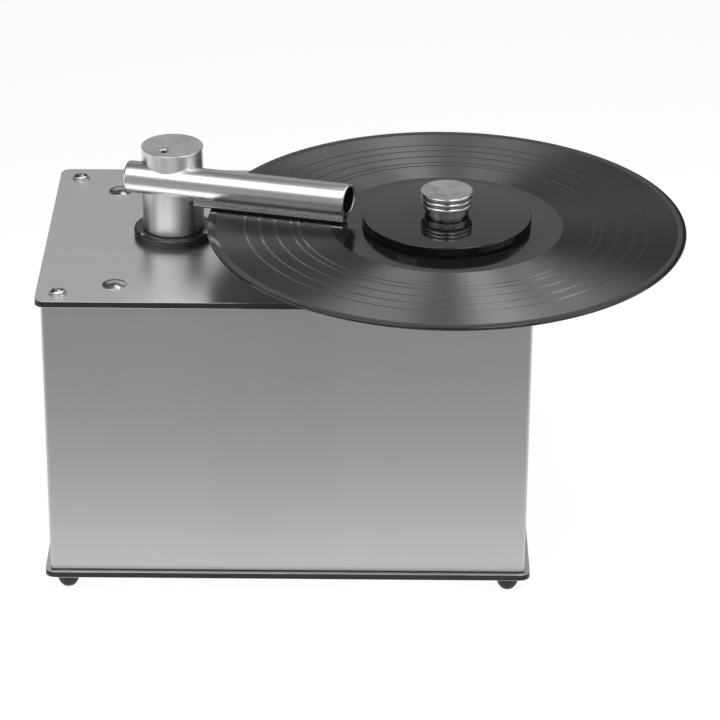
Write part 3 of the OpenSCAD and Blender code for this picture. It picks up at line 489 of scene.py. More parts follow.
class PatternGroups:
    """Builds each pattern's node group once, and hands it out."""

    made: dict[Pattern, bpy.types.NodeTree] = {}

    @classmethod
    def get(cls, pattern: Pattern) -> bpy.types.NodeTree:
        """The group of a pattern, built the first time that it is asked for."""
        if pattern not in cls.made:
            build = {
                Pattern.GRAIN: cls.grain,
                Pattern.BRUSHED: cls.brushed,
                Pattern.TURNED: cls.turned,
                Pattern.SLEEVE: cls.sleeve,
            }[pattern]
            cls.made[pattern] = build()
        return cls.made[pattern]

    @staticmethod
    def grain() -> bpy.types.NodeTree:
        """Small even grain, with broad soft patches.

        Returns:
            The group.
        """
        tree, w, source, out = open_group("Fine grain", {"Vector": "NodeSocketVector", "Fineness": "NodeSocketFloat"})
        scaled = w.vector("SCALE", source.outputs["Vector"])
        w.link(source.outputs["Fineness"], scaled.inputs["Scale"])
        w.link(w.noise(scaled.outputs[0], 1.0, 3.0, 0.6), out.inputs["Line"])
        w.link(w.noise(source.outputs["Vector"], 22.0, 2.0), out.inputs["Patch"])
        return tree

    @staticmethod
    def brushed() -> bpy.types.NodeTree:
        """Long fine lines from left to right, with broad soft patches.

        Returns:
            The group.
        """
        tree, w, source, out = open_group("Brushed", {"Vector": "NodeSocketVector", "Fineness": "NodeSocketFloat"})
        stretched = w.vector("MULTIPLY", source.outputs["Vector"], (0.012, 1.0, 1.0))
        scaled = w.vector("SCALE", stretched.outputs[0])
        w.link(source.outputs["Fineness"], scaled.inputs["Scale"])
        w.link(w.noise(scaled.outputs[0], 1.0, 3.0, 0.65), out.inputs["Line"])
        w.link(w.noise(stretched.outputs[0], 160.0, 2.0), out.inputs["Patch"])
        return tree

    @staticmethod
    def turned() -> bpy.types.NodeTree:
        """Rings round an upright axis: the noise runs fast with radius and height, slowly round.

        Returns:
            The group.
        """
        names = {"Vector": "NodeSocketVector", "Fineness": "NodeSocketFloat", "Axis": "NodeSocketVector"}
        tree, w, source, out = open_group("Turned rings", names)
        place = w.vector("SUBTRACT", source.outputs["Vector"], source.outputs["Axis"])
        flat = w.vector("MULTIPLY", place.outputs[0], (1.0, 1.0, 0.0))
        radius = w.vector("LENGTH", flat.outputs[0]).outputs["Value"]
        split = w.add("ShaderNodeSeparateXYZ")
        w.link(place.outputs[0], split.inputs[0])
        run = w.math("MULTIPLY", w.math("ADD", radius, split.outputs["Z"]), source.outputs["Fineness"])
        unit = w.vector("NORMALIZE", flat.outputs[0])
        parts = w.add("ShaderNodeSeparateXYZ")
        w.link(unit.outputs[0], parts.inputs[0])
        joined = w.add("ShaderNodeCombineXYZ")
        w.link(run, joined.inputs["X"])
        w.link(parts.outputs["X"], joined.inputs["Y"])
        w.link(parts.outputs["Y"], joined.inputs["Z"])
        w.link(w.noise(joined.outputs[0], 1.0, 3.0, 0.6), out.inputs["Line"])
        w.link(w.noise(joined.outputs[0], 0.08, 2.0), out.inputs["Patch"])
        return tree

    @staticmethod
    def sleeve() -> bpy.types.NodeTree:
        """Rings round a tube: the noise runs fast along the piece's own map, slowly round it.

        Returns:
            The group.
        """
        tree, w, source, out = open_group("Rings round a tube", {"Vector": "NodeSocketVector", "Fineness": "NodeSocketFloat"})
        split = w.add("ShaderNodeSeparateXYZ")
        w.link(source.outputs["Vector"], split.inputs[0])
        run = w.math("MULTIPLY", split.outputs["X"], source.outputs["Fineness"])
        turn = w.math("MULTIPLY", split.outputs["Y"], 2 * math.pi)
        joined = w.add("ShaderNodeCombineXYZ")
        w.link(run, joined.inputs["X"])
        w.link(w.math("COSINE", turn), joined.inputs["Y"])
        w.link(w.math("SINE", turn), joined.inputs["Z"])
        w.link(w.noise(joined.outputs[0], 1.0, 4.0, 0.65), out.inputs["Line"])
        w.link(w.noise(joined.outputs[0], 0.15, 2.0), out.inputs["Patch"])
        return tree


# --------------------------------------------------------------- finishes


@dataclass(frozen=True)
class Finish:
    """One surface finish: plain values, and how a pattern moves colour, gloss and relief."""

    name: str
    color: Color
    metallic: float = 0.0
    roughness: float = 0.4
    pattern: Pattern = Pattern.GRAIN
    fineness: float = 2500.0
    tone: float = 0.08
    gloss: float = 0.05
    patch: float = 0.04
    relief: float = 0.02
    ior: float = 1.5
    coat: float = 0.0
    coat_rough: float = 0.05
    anisotropy: float = 0.0
    sheen: float = 0.0
    axis: tuple[float, float] = (0.0, 0.0)

    def material(self) -> bpy.types.Material:
        """The finish's material, built the first time that it is asked for."""
        found = bpy.data.materials.get(self.name)
        return found if found is not None else self.build()

    def shader(self) -> tuple[bpy.types.Material, Wiring, bpy.types.Node]:
        """Starts a material with its plain values set on the shader.

        Returns:
            The material, its wiring and its Principled shader.
        """
        material = bpy.data.materials.new(self.name)
        material.use_nodes = True
        wires = Wiring(material.node_tree)
        shader = next(n for n in material.node_tree.nodes if n.type == "BSDF_PRINCIPLED")
        plain = {
            "Base Color": (*self.color, 1.0),
            "Metallic": self.metallic,
            "Roughness": self.roughness,
            "IOR": self.ior,
            "Coat Weight": self.coat,
            "Coat Roughness": self.coat_rough,
            "Anisotropic": self.anisotropy,
            "Anisotropic Rotation": 0.25 if self.anisotropy else 0.0,
            "Sheen Weight": self.sheen,
        }
        for label, value in plain.items():
            shader.inputs[label].default_value = value
        return material, wires, shader

    def texture(self, wires: Wiring) -> tuple[bpy.types.NodeSocket, bpy.types.NodeSocket]:
        """Places the pattern's group, read at the piece's own place or map.

        Args:
            wires: the material's wiring.
        Returns:
            The line and patch values.
        """
        group = wires.add("ShaderNodeGroup", node_tree=PatternGroups.get(self.pattern))
        if self.pattern is Pattern.SLEEVE:
            where = wires.add("ShaderNodeUVMap", uv_map="map").outputs[0]
        else:
            where = wires.add("ShaderNodeTexCoord").outputs["Object"]
        wires.link(where, group.inputs["Vector"])
        group.inputs["Fineness"].default_value = self.fineness
        if self.pattern is Pattern.TURNED:
            group.inputs["Axis"].default_value = (self.axis[0] * MM, self.axis[1] * MM, 0.0)
        return group.outputs["Line"], group.outputs["Patch"]

    def build(self) -> bpy.types.Material:
        """Builds the material: the pattern moves tone, roughness and relief a little.

        Returns:
            The material.
        """
        material, wires, shader = self.shader()
        line, patch = self.texture(wires)
        mix = wires.add("ShaderNodeMix", data_type="RGBA")
        wires.link(line, mix.inputs[0])
        low, high = 1 - self.tone, 1 + self.tone
        mix.inputs[6].default_value = (*(c * low for c in self.color), 1.0)
        mix.inputs[7].default_value = (*(min(c * high, 1.0) for c in self.color), 1.0)
        wires.link(mix.outputs[2], shader.inputs["Base Color"])
        rough = wires.math("MULTIPLY_ADD", line, 2 * self.gloss, self.roughness - self.gloss - self.patch)
        rough = wires.math("MULTIPLY_ADD", patch, 2 * self.patch, rough)
        wires.link(rough, shader.inputs["Roughness"])
        if self.relief > 0:
            bump = wires.add("ShaderNodeBump")
            bump.inputs["Strength"].default_value = 1.0
            bump.inputs["Distance"].default_value = self.relief * MM
            wires.link(line, bump.inputs["Height"])
            wires.link(bump.outputs[0], shader.inputs["Normal"])
        return material


@dataclass(frozen=True)
class GrooveFinish(Finish):
    """Grooved vinyl: rough across the grooves, with smooth lines where one track ends, which also get a lighter colour
    as a painted sheen.
    """

    gaps: tuple[float, ...] = (93.0, 98.0, 108.0, 118.0, 127.0)
    gap_w: float = 0.9
    smooth: float = 0.2
    wall_tilt: float = 0.22
    gap_painted_sheen: float = 0.026

    def build(self) -> bpy.types.Material:
        """Builds the material: a band mask on the distance from the axis sets the roughness, and gives the smooth
        lines a lighter colour as a painted sheen.

        Returns:
            The material.
        """
        material, wires, shader = self.shader()
        line, patch = self.texture(wires)
        where = wires.add("ShaderNodeTexCoord").outputs["Object"]
        place = wires.vector("SUBTRACT", where, (self.axis[0] * MM, self.axis[1] * MM, 0.0))
        flat = wires.vector("MULTIPLY", place.outputs[0], (1.0, 1.0, 0.0))
        radius = wires.vector("LENGTH", flat.outputs[0]).outputs["Value"]
        ramp = wires.add("ShaderNodeValToRGB")
        wires.link(wires.math("DIVIDE", radius, 160 * MM), ramp.inputs[0])
        marks = ramp.color_ramp.elements
        marks[0].position, marks[0].color = 0.0, (1, 1, 1, 1)
        marks.remove(marks[1])
        for gap in self.gaps:
            for at, level in ((-1.0, 1.0), (-0.5, 0.0), (0.5, 0.0), (1.0, 1.0)):
                marks.new((gap + at * self.gap_w) / 160).color = (level, level, level, 1)
        mask = ramp.outputs[0]
        spread = wires.math("MULTIPLY_ADD", line, 2 * self.gloss, self.roughness - self.smooth - self.gloss - self.patch)
        spread = wires.math("MULTIPLY_ADD", patch, 2 * self.patch, spread)
        wires.link(wires.math("MULTIPLY_ADD", mask, spread, self.smooth), shader.inputs["Roughness"])
        # The smooth lines between tracks are coloured lighter than the grooves: a painted sheen.
        mix = wires.add("ShaderNodeMix", data_type="RGBA")
        wires.link(mask, mix.inputs[0])
        mix.inputs[6].default_value = (self.gap_painted_sheen, self.gap_painted_sheen, self.gap_painted_sheen, 1.0)
        mix.inputs[7].default_value = (*self.color, 1.0)
        wires.link(mix.outputs[2], shader.inputs["Base Color"])
        bump = wires.add("ShaderNodeBump")
        bump.inputs["Strength"].default_value = 1.0
        bump.inputs["Distance"].default_value = self.relief * MM
        slope = wires.math("MULTIPLY", radius, -self.wall_tilt / (self.relief * MM))
        wires.link(wires.math("ADD", wires.math("MULTIPLY", mask, line), slope), bump.inputs["Height"])
        wires.link(bump.outputs[0], shader.inputs["Normal"])
        return material


PANEL_SKIN = Finish("panel skin", (0.82, 0.828, 0.835), 1.0, 0.30, Pattern.BRUSHED, 3800.0, 0.05, 0.04, 0.04, 0.012)
PANEL_CORE = Finish("panel core", (0.018, 0.018, 0.019), 0.0, 0.5, Pattern.BRUSHED, 2500.0, 0.25, 0.08, 0.05, 0.03)
CASE_SHEET = Finish("case sheet", (0.62, 0.625, 0.63), 1.0, 0.42, Pattern.GRAIN, 2600.0, 0.07, 0.05, 0.03, 0.02)
RUBBER = Finish("black rubber", (0.018, 0.018, 0.018), 0.0, 0.55, Pattern.GRAIN, 3000.0, 0.25, 0.08, 0.05, 0.05)
POLISHED = Finish("polished steel", (0.62, 0.62, 0.625), 1.0, 0.22, Pattern.GRAIN, 900.0, 0.03, 0.03, 0.04, 0.004)
BLACK_SCREW = Finish("black oxide screw", (0.03, 0.03, 0.032), 0.6, 0.35, Pattern.GRAIN, 3500.0, 0.2, 0.06, 0.04, 0.01)
MACHINED = Finish("machined aluminium", (0.66, 0.665, 0.67), 1.0, 0.32, Pattern.GRAIN, 2200.0, 0.06, 0.06, 0.05, 0.008)
TANK = Finish("tank plastic", (0.72, 0.72, 0.69), 0.0, 0.42, Pattern.GRAIN, 1400.0, 0.05, 0.06, 0.06, 0.03)
HOSE = Finish("hose rubber", (0.022, 0.022, 0.023), 0.0, 0.48, Pattern.SLEEVE, 2600.0, 0.2, 0.06, 0.05, 0.04)
ANODISED = Finish("black anodised", (0.018, 0.018, 0.019), 0.0, 0.26, Pattern.TURNED, 4200.0, 0.2, 0.04, 0.03, 0.004, ior=1.6, axis=LAY.column)
BRASS = Finish("bearing brass", (0.72, 0.52, 0.24), 1.0, 0.28, Pattern.GRAIN, 2000.0, 0.06, 0.06, 0.05, 0.006)
COLUMN = Finish("turned column", (0.76, 0.76, 0.765), 1.0, 0.30, Pattern.TURNED, 6500.0, 0.03, 0.03, 0.02, 0.0012, anisotropy=0.85, axis=LAY.column)
WAND = Finish("satin wand", (0.68, 0.682, 0.69), 1.0, 0.34, Pattern.SLEEVE, 9000.0, 0.06, 0.05, 0.04, 0.0022)
SET_SCREW = Finish("set screw steel", (0.42, 0.42, 0.43), 1.0, 0.25, Pattern.GRAIN, 3000.0, 0.1, 0.05, 0.04, 0.01)
LIP = Finish("milled lip", (0.74, 0.74, 0.745), 1.0, 0.27, Pattern.GRAIN, 3000.0, 0.06, 0.05, 0.05, 0.003)
BLACK_PLASTIC = Finish("black plastic", (0.022, 0.022, 0.022), 0.0, 0.42, Pattern.GRAIN, 2600.0, 0.2, 0.06, 0.04, 0.03)
# Near black and barely reflecting: painted shade for the dark inside of the wand's open end.
BORE_PAINTED_SHADE = Finish("bore painted shade", (0.004, 0.004, 0.004), 0.0, 0.8, Pattern.GRAIN, 2600.0, 0.3, 0.06, 0.04, 0.02, ior=1.1)
VELVET = Finish("black velvet", (0.012, 0.012, 0.013), 0.0, 0.9, Pattern.GRAIN, 6000.0, 0.5, 0.05, 0.05, 0.15, sheen=0.35)
PLATTER = Finish("platter black", (0.02, 0.02, 0.021), 0.0, 0.38, Pattern.TURNED, 3000.0, 0.2, 0.05, 0.04, 0.004, axis=LAY.spindle)
VINYL = Finish("pressed vinyl", (0.010, 0.010, 0.0105), 0.0, 0.10, Pattern.TURNED, 1500.0, 0.2, 0.02, 0.03, 0.0006, ior=1.58, axis=LAY.spindle)
GROOVES = GrooveFinish("grooved vinyl", (0.009, 0.009, 0.0095), 0.0, 0.50, Pattern.TURNED, 2300.0, 0.2, 0.05, 0.04, 0.002, ior=2.35, anisotropy=0.97, axis=LAY.spindle)
LABEL = Finish("label paper", (0.55, 0.52, 0.44), 0.0, 0.65, Pattern.GRAIN, 2600.0, 0.06, 0.05, 0.03, 0.02)
CLAMP = Finish("polished black clamp", (0.006, 0.006, 0.0065), 0.0, 0.04, Pattern.GRAIN, 500.0, 0.1, 0.01, 0.012, 0.0006, ior=1.58)
KNOB = Finish("turned knob", (0.66, 0.66, 0.665), 1.0, 0.26, Pattern.TURNED, 6500.0, 0.04, 0.03, 0.02, 0.001, anisotropy=0.85, axis=LAY.spindle)
GEAR_CASE = Finish("zinc grey paint", (0.24, 0.245, 0.25), 0.2, 0.42, Pattern.GRAIN, 2200.0, 0.1, 0.06, 0.05, 0.02)
WINDING = Finish("enamelled copper", (0.46, 0.17, 0.06), 1.0, 0.3, Pattern.TURNED, 1600.0, 0.2, 0.05, 0.05, 0.12, axis=(LAY.spindle[0], LAY.spindle[1] + 10))
ROTOR = Finish("laminated steel", (0.40, 0.40, 0.41), 1.0, 0.34, Pattern.TURNED, 2400.0, 0.12, 0.05, 0.05, 0.02, axis=LAY.spindle)
ROCKER = Finish("gloss black rocker", (0.016, 0.016, 0.016), 0.0, 0.22, Pattern.GRAIN, 1500.0, 0.15, 0.04, 0.03, 0.004)
WIRE = Finish("wire sleeve", (0.02, 0.02, 0.021), 0.0, 0.42, Pattern.SLEEVE, 1800.0, 0.2, 0.05, 0.05, 0.01)
SPRING = Finish("spring steel", (0.5, 0.5, 0.51), 1.0, 0.24, Pattern.SLEEVE, 4000.0, 0.06, 0.05, 0.05, 0.004)

BY_SLOT = {
    "panel_sheet": PANEL_SKIN,
    "case_sheet": CASE_SHEET,
    "gasket_rubber": RUBBER,
    "bright_steel": POLISHED,
    "black_screw": BLACK_SCREW,
    "plain_aluminium": MACHINED,
    "tank_plastic": TANK,
    "hose_rubber": HOSE,
    "black_anodised": ANODISED,
    "bearing_brass": BRASS,
    "turned_aluminium": COLUMN,
    "satin_aluminium": WAND,
    "screw_steel": SET_SCREW,
    "lip_aluminium": LIP,
    "black_plastic": BLACK_PLASTIC,
    "velvet": VELVET,
    "platter_black": PLATTER,
    "vinyl": VINYL,
    "label_paper": LABEL,
    "clamp_black": CLAMP,
    "knob_metal": KNOB,
    "gear_case": GEAR_CASE,
    "copper_winding": WINDING,
    "rotor_steel": ROTOR,
    "rocker_plastic": ROCKER,
    "wire_black": WIRE,
}


# ---------------------------------------------------------- sub-assemblies


@dataclass
class Panels:
    """The top and base panels: a black core between two thin silver skins."""

    skin: float = 0.14
    recess: float = 0.03
    chamfer: float = 0.04

    def build(self) -> None:
        """Builds both panels."""
        for name, low, node in (("top", LAY.deck_low, "top_panel"), ("base", LAY.foot_h, "base_panel")):
            high = low + LAY.panel_t
            skins = [self.layer(low, low + self.skin, 0.0, self.chamfer), self.layer(high - self.skin, high, 0.0, self.chamfer)]
            core = self.layer(low + self.skin - 0.01, high - self.skin + 0.01, self.recess, 0.0)
            make_piece(f"{name}_panel_skins", skins, PANEL_SKIN, "case", (node,), sharp=25)
            make_piece(f"{name}_panel_core", [core], PANEL_CORE, "case", (node,))

    def layer(self, low: float, high: float, inset: float, chamfer: float) -> Surface:
        """One layer of a panel.

        Args:
            low: height of its lower face.
            high: height of its upper face.
            inset: how far its edge stands back.
            chamfer: size of its edge's chamfers.
        Returns:
            The closed surface.
        """
        edge = [(inset, low), (inset, high)]
        if chamfer:
            edge = [(inset + chamfer, low), (inset, low + chamfer), (inset, high - chamfer), (inset + chamfer, high)]
        return slab(LAY.case_w, LAY.case_d, LAY.corner_r, edge, LAY.centre)


@dataclass
class Wrap:
    """The sheet bent round the front and both sides, with its two switch windows."""

    gasket: float = 0.8
    flange: float = 12.0
    window_v: tuple[float, float] = (46.0, 74.0)
    window: tuple[float, float] = (13.2, 19.2)
    window_z: float = 170.0

    def path(self, inward: float) -> np.ndarray:
        """Plan of one face of the sheet, from the right flange round the front to the left.

        Args:
            inward: distance from the outer face.
        Returns:
            Array of points by two, in frame millimetres.
        """
        left, right = LAY.overhang + inward, LAY.case_w - LAY.overhang - inward
        front, back = LAY.overhang + inward, LAY.case_d - LAY.overhang - LAY.sheet_t - inward
        r = max(LAY.bend_r - inward, 0.5)
        turn = self.flange - inward
        half = self.window[0] / 2
        stops = [(left, v + s * half) for v in self.window_v for s in (-1, 1)]
        corners = [(right - turn, back), (right, back, r), (right, front, r), (left, front, r), *stops, (left, back, r), (left + turn, back)]
        return rounded(corners, 8) + np.array([LAY.case_left, LAY.case_front])

    def build(self) -> None:
        """Builds the sheet: its outer and inner faces, its edges and the windows' frames."""
        low, high = LAY.base_top + self.gasket, LAY.deck_low
        levels = np.array([low, self.window_z - self.window[1] / 2, self.window_z + self.window[1] / 2, high])
        outer, inner = self.path(0.0), self.path(LAY.sheet_t)
        loop = np.concatenate([outer, inner[::-1], outer[:1]])
        wall = np.concatenate([np.broadcast_to(loop, (4,) + loop.shape), np.broadcast_to(levels[:, None, None], (4, len(loop), 1))], -1)
        keep = np.ones((3, len(loop) - 1), bool)
        first = 1 + 3 * 9
        cells = np.array([first, first + 2])
        keep[1, cells] = False
        keep[1, len(loop) - 2 - cells - 1] = False
        surfaces = [grid(wall, keep)]
        for z in (low, high):
            rim = np.stack([outer, inner])
            surfaces.append(grid(np.concatenate([rim, np.full(rim.shape[:2] + (1,), z)], -1)))
        for v in self.window_v:
            a, b = v - self.window[0] / 2, v + self.window[0] / 2
            ring = np.array([(a, levels[1]), (b, levels[1]), (b, levels[2]), (a, levels[2]), (a, levels[1])])
            x = LAY.case_left + LAY.overhang + np.array([0.0, LAY.sheet_t])
            frame = np.stack([np.stack([np.full(5, k), LAY.case_front + ring[:, 0], ring[:, 1]], -1) for k in x])
            surfaces.append(grid(frame))
        make_piece("case_wrap", surfaces, CASE_SHEET, "case", ("front_shell",), sharp=40)


@dataclass
class Fasteners:
    """Button-head corner screws on washers, domed hanger bolts, and the rubber feet."""

    washer_r: float = 5.7
    head_r: float = 4.7
    hex_across: float = 3.0
    hangers: tuple[tuple[float, float], ...] = ((48.1, 25.6), (42.0, 171.0))

    def socket(self, r: float, top: float, depth: float) -> Surface:
        """Hexagonal socket let into a round head.

        The rim runs from a circle to a hexagon: at angle a the hexagon's edge lies its
        half width over the cosine of the angle from the nearest flat's middle.

        Args:
            r: radius of the circle where the head's dome stops.
            top: height of that circle.
            depth: depth of the socket.
        Returns:
            The surface, closed at its floor.
        """
        a = np.linspace(0, 2 * math.pi, 73)
        flat = (a + math.pi / 6) % (math.pi / 3) - math.pi / 6
        hexagon = self.hex_across / 2 / np.cos(flat)
        radii = np.stack([np.full_like(a, r), hexagon * 1.06, hexagon, hexagon, hexagon * 0])
        heights = np.array([top, top, top - 0.12, top - depth, top - depth - 0.3])[:, None]
        return grid(np.stack([radii * np.cos(a), radii * np.sin(a), heights + 0 * a], -1))

    def build(self) -> None:
        """Builds the screws, bolts and feet."""
        deck = LAY.deck
        washer = rounded([(0.5, 0.0), (self.washer_r, 0.0, 0.25), (self.washer_r, 0.8, 0.25), (self.head_r - 0.2, 0.8)], 4)
        washer = np.concatenate([[(0.0, -0.3)], washer, [(self.head_r - 0.2, 0.3), (0.0, 0.3)]])
        t = np.linspace(0, 1, 10)
        dome = np.stack([self.head_r - (self.head_r - 2.1) * np.sin(t * math.pi / 2) ** 2, 1.1 + 2.2 * np.sin(t * math.pi / 2)], -1)
        side = np.array([(0.0, 0.8), (self.head_r - 0.15, 0.8), (self.head_r, 0.95)])
        head = np.concatenate([side, dome])
        places = LAY.corners()
        shank = np.array([(0.0, -20.0), (2.1, -20.0), (2.5, -19.5), (2.5, 0.9), (0.0, 0.9)])
        parts = [
            copies(lathe(washer, (0, 0), deck, 96), places),
            copies(lathe(head, (0, 0), deck, 72), places),
            copies(self.socket(2.1, deck + 3.3, 1.7), places),
            copies(lathe(shank, (0, 0), deck, 32), places),
        ]
        make_piece("corner_button_screws", parts, POLISHED, "case", ("corner_screws",), sharp=38)
        r, h = 8.0, 2.6
        ball = (r * r + h * h) / (2 * h)
        a = np.linspace(math.asin((r - 0.35) / ball), 0, 20)
        cap = np.stack([ball * np.sin(a), h - ball + ball * np.cos(a)], -1)
        rim = np.array([(0.0, -0.2), (7.6, -0.2), (7.9, 0.0), (8.0, 0.12), (7.9, 0.26)])
        stem = np.array([(0.0, -31.8), (3.0, -31.8), (3.0, 0.0), (0.0, 0.0)])
        spots = np.array(self.hangers) + np.array([LAY.case_left, LAY.case_front])
        parts = [copies(lathe(np.concatenate([rim, cap]), (0, 0), deck, 96), spots), copies(lathe(stem, (0, 0), deck, 48), spots)]
        make_piece("domed_hanger_bolts", parts, POLISHED, "case", ("hanger_bolts",), sharp=38)
        foot = self.foot()
        make_piece("rubber_feet", [copies(lathe(foot, (0, 0), 0.0, 96), places)], RUBBER, "case", ("feet",), sharp=38)

    def foot(self) -> np.ndarray:
        """Profile of a foot: a bulging side, a rounded lower edge and a recess for its screw.

        The side's radius is 7.5 times the root of one less the square of how far down
        it is, over a height a little more than the foot's.

        Returns:
            Array of points by (radius, height).
        """
        t = np.linspace(0, 0.86, 24)
        side = np.stack([7.5 * np.sqrt(1 - t**2.6), LAY.foot_h * (1 - t / 0.86 * 0.965)], -1)
        floor = np.array([(side[-1][0] - 0.9, 0.0), (3.3, 0.0), (3.0, 0.3), (3.0, 4.4), (0.0, 4.4)])
        return np.concatenate([[(0.0, LAY.foot_h)], side, floor])


@dataclass
class Arm:
    """The suction arm: a turned column, and a wand that passes through its front."""

    column_r: float = 19.7
    column_low: float = 5.9
    column_top: float = 61.3
    cavity_r: float = 17.0
    ceiling: float = 19.1
    screw: tuple[float, float] = (-4.8, -9.8)
    wand_r: float = 10.15
    wand_wall: float = 1.7
    wand_rise: float = 42.4
    wand_offset: float = 12.3
    wand_angle: float = -14.2
    wand_front: float = 119.6
    wand_back: float = 26.3
    bevel: float = 10.0
    plug_depth: float = 0.9
    lip_start: float = 18.3
    lip_back: float = 2.6
    slot_half: float = 1.3

    def place(self, t: np.ndarray, s: np.ndarray, h: np.ndarray) -> np.ndarray:
        """Points given along the wand, across it and above its axis, in the frame.

        Args:
            t: distance along the wand from beside the column's axis.
            s: distance to the wand's rear side.
            h: height above the wand's axis.
        Returns:
            Array of points by three.
        """
        a = math.radians(self.wand_angle)
        across = s - self.wand_offset
        x = LAY.column[0] + t * math.cos(a) - across * math.sin(a)
        y = LAY.column[1] + t * math.sin(a) + across * math.cos(a)
        return np.stack([x, y, LAY.deck + self.wand_rise + h + 0 * x], -1)

    def build(self) -> None:
        """Builds the column, the wand with the plug in its end, and the lip below it."""
        self.column()
        self.wand()
        self.lip()

    def column(self) -> None:
        """Builds the column: a turned shell, and a top face with the set screw's hole."""
        x, y = LAY.column
        low, top, r = self.column_low, self.column_top, self.column_r
        bore, hole = 9.04, 3.04
        shell = rounded(
            [
                (bore, 30.0),
                (bore, self.ceiling),
                (self.cavity_r, self.ceiling, 1.0),
                (self.cavity_r, low + 0.3),
                (self.cavity_r + 0.3, low),
                (r, low, 0.4),
                (r, top, 0.45),
                (r - 1.2, top),
            ],
            5,
        )
        a = np.linspace(0, 2 * math.pi, 193)
        t = np.linspace(0, 1, 12)[:, None]
        ring = hole + 0.25
        px = x + (1 - t) * (self.screw[0] + ring * np.cos(a)) + t * (r - 1.2) * np.cos(a)
        py = y + (1 - t) * (self.screw[1] + ring * np.sin(a)) + t * (r - 1.2) * np.sin(a)
        face = grid(np.stack([px, py, LAY.deck + top + 0 * px], -1))
        well = np.array([(ring, top), (hole, top - 0.25), (hole, top - 8.0), (0.0, top - 8.0)])
        centre = (x + self.screw[0], y + self.screw[1])
        plug = np.array([(0.0, 30.0), (bore, 30.0)])
        parts = [lathe(shell, LAY.column, LAY.deck, 192), face, lathe(well, centre, LAY.deck, 192), lathe(plug, LAY.column, LAY.deck, 192)]
        make_piece("arm_column_turned", parts, COLUMN, "suction_arm", ("arm_column",), sharp=30)

    def wand(self) -> None:
        """Builds the wand: rounded rear end, long tube, bevelled rim and the bore behind it.

        The tube's end at angle a lies wand_front plus the tangent of the bevel times the
        height of that point across the tube, so that the end is one slanted plane.
        """
        r, inner = self.wand_r, self.wand_r - self.wand_wall
        a = np.linspace(0, 2 * math.pi, 145)
        slope = math.tan(math.radians(self.bevel))
        rear = rounded([(-self.wand_back, 0.0), (-self.wand_back, r, 1.6), (-self.wand_back + 3, r)], 10)
        body = np.stack([np.linspace(-self.wand_back + 4, self.wand_front - 14, 60), np.full(60, r)], -1)
        rows = [(np.full_like(a, t), np.full_like(a, q)) for t, q in np.concatenate([rear, body])]
        rim = rounded([(-10.0, r), (0.0, r, 0.95), (0.0, inner, 0.35), (-4.0, inner)], 8)
        rows += [(self.wand_front + slope * q * np.sin(a) + t, np.full_like(a, q)) for t, q in rim]
        rows += [(np.full_like(a, self.wand_front - 9), np.full_like(a, inner)), (np.full_like(a, self.wand_front - 9), 0 * a)]
        t, q = (np.stack([row[k] for row in rows]) for k in (0, 1))
        points = self.place(t, q * np.sin(a), q * np.cos(a))
        uv = np.stack([t * MM, np.broadcast_to(a / (2 * math.pi), t.shape)], -1)
        make_piece("suction_wand", [grid(points, uv=uv)], WAND, "suction_arm", ("wand_tube", "wand_plug"), sharp=35)
        depth, q = self.plug_depth, inner - 0.02
        rows = [(self.wand_front - 8 + 0 * a, 0 * a), (self.wand_front - 8 + 0 * a, q + 0 * a)]
        rows += [(self.wand_front - depth + slope * k * np.sin(a) - d, k + 0 * a) for k, d in ((q, 0.4), (q - 0.4, 0.0), (q - 1.2, 0.1), (q * 0.5, 0.5), (0.0, 0.7))]
        t, k = (np.stack([row[i] for row in rows]) for i in (0, 1))
        # The plug is near black and barely reflects: painted shade for the dark inside of the tube.
        make_piece("wand_end_plug", [grid(self.place(t, k * np.sin(a), k * np.cos(a)))], BORE_PAINTED_SHADE, "suction_arm", ("tip_plug",))


    def lip(self) -> None:
        """Builds the suction lip: a section of bar, seam and foot carried along the wand.

        Both outer faces lean outwards as they go down. The slot's half width steps from
        nothing to its full size between its two ends, and the far end is cut at the
        wand's bevel.
        """
        half = [(2.7, -9.2), (3.75, -11.7), (2.6, -11.85), (2.6, -12.5), (3.3, -12.55), (3.7, -13.75), (3.7, -13.88)]
        front, rear = self.lip_start, self.wand_front - self.lip_back
        stops = [front, front + 0.3, front + 6.0, front + 6.01, self.wand_front - 10.01, self.wand_front - 10.0, rear]
        widths = [0.02, 0.02, 0.02, self.slot_half, self.slot_half, 0.02, 0.02]
        rows = []
        for t, w in zip(stops, widths):
            loop = [*half, (w, -13.88), (w, -9.2)]
            loop = loop + [(-x, h) for x, h in loop[::-1]] + loop[:1]
            rows.append([(t, x, h) for x, h in loop])
        section = np.array(rows)
        middle = section.copy()[[0, -1]]
        middle[:, :, 1], middle[:, :, 2] = 0.0, -11.0
        section = np.concatenate([middle[:1], section, middle[1:]])
        t, s, h = section[..., 0], section[..., 1], section[..., 2]
        t = t + np.where(t > rear - 1, s * math.tan(math.radians(self.bevel)), 0.0)
        make_piece("suction_lip_bar", [grid(self.place(t, s, h))], LIP, "suction_arm", ("suction_lip",), sharp=25)


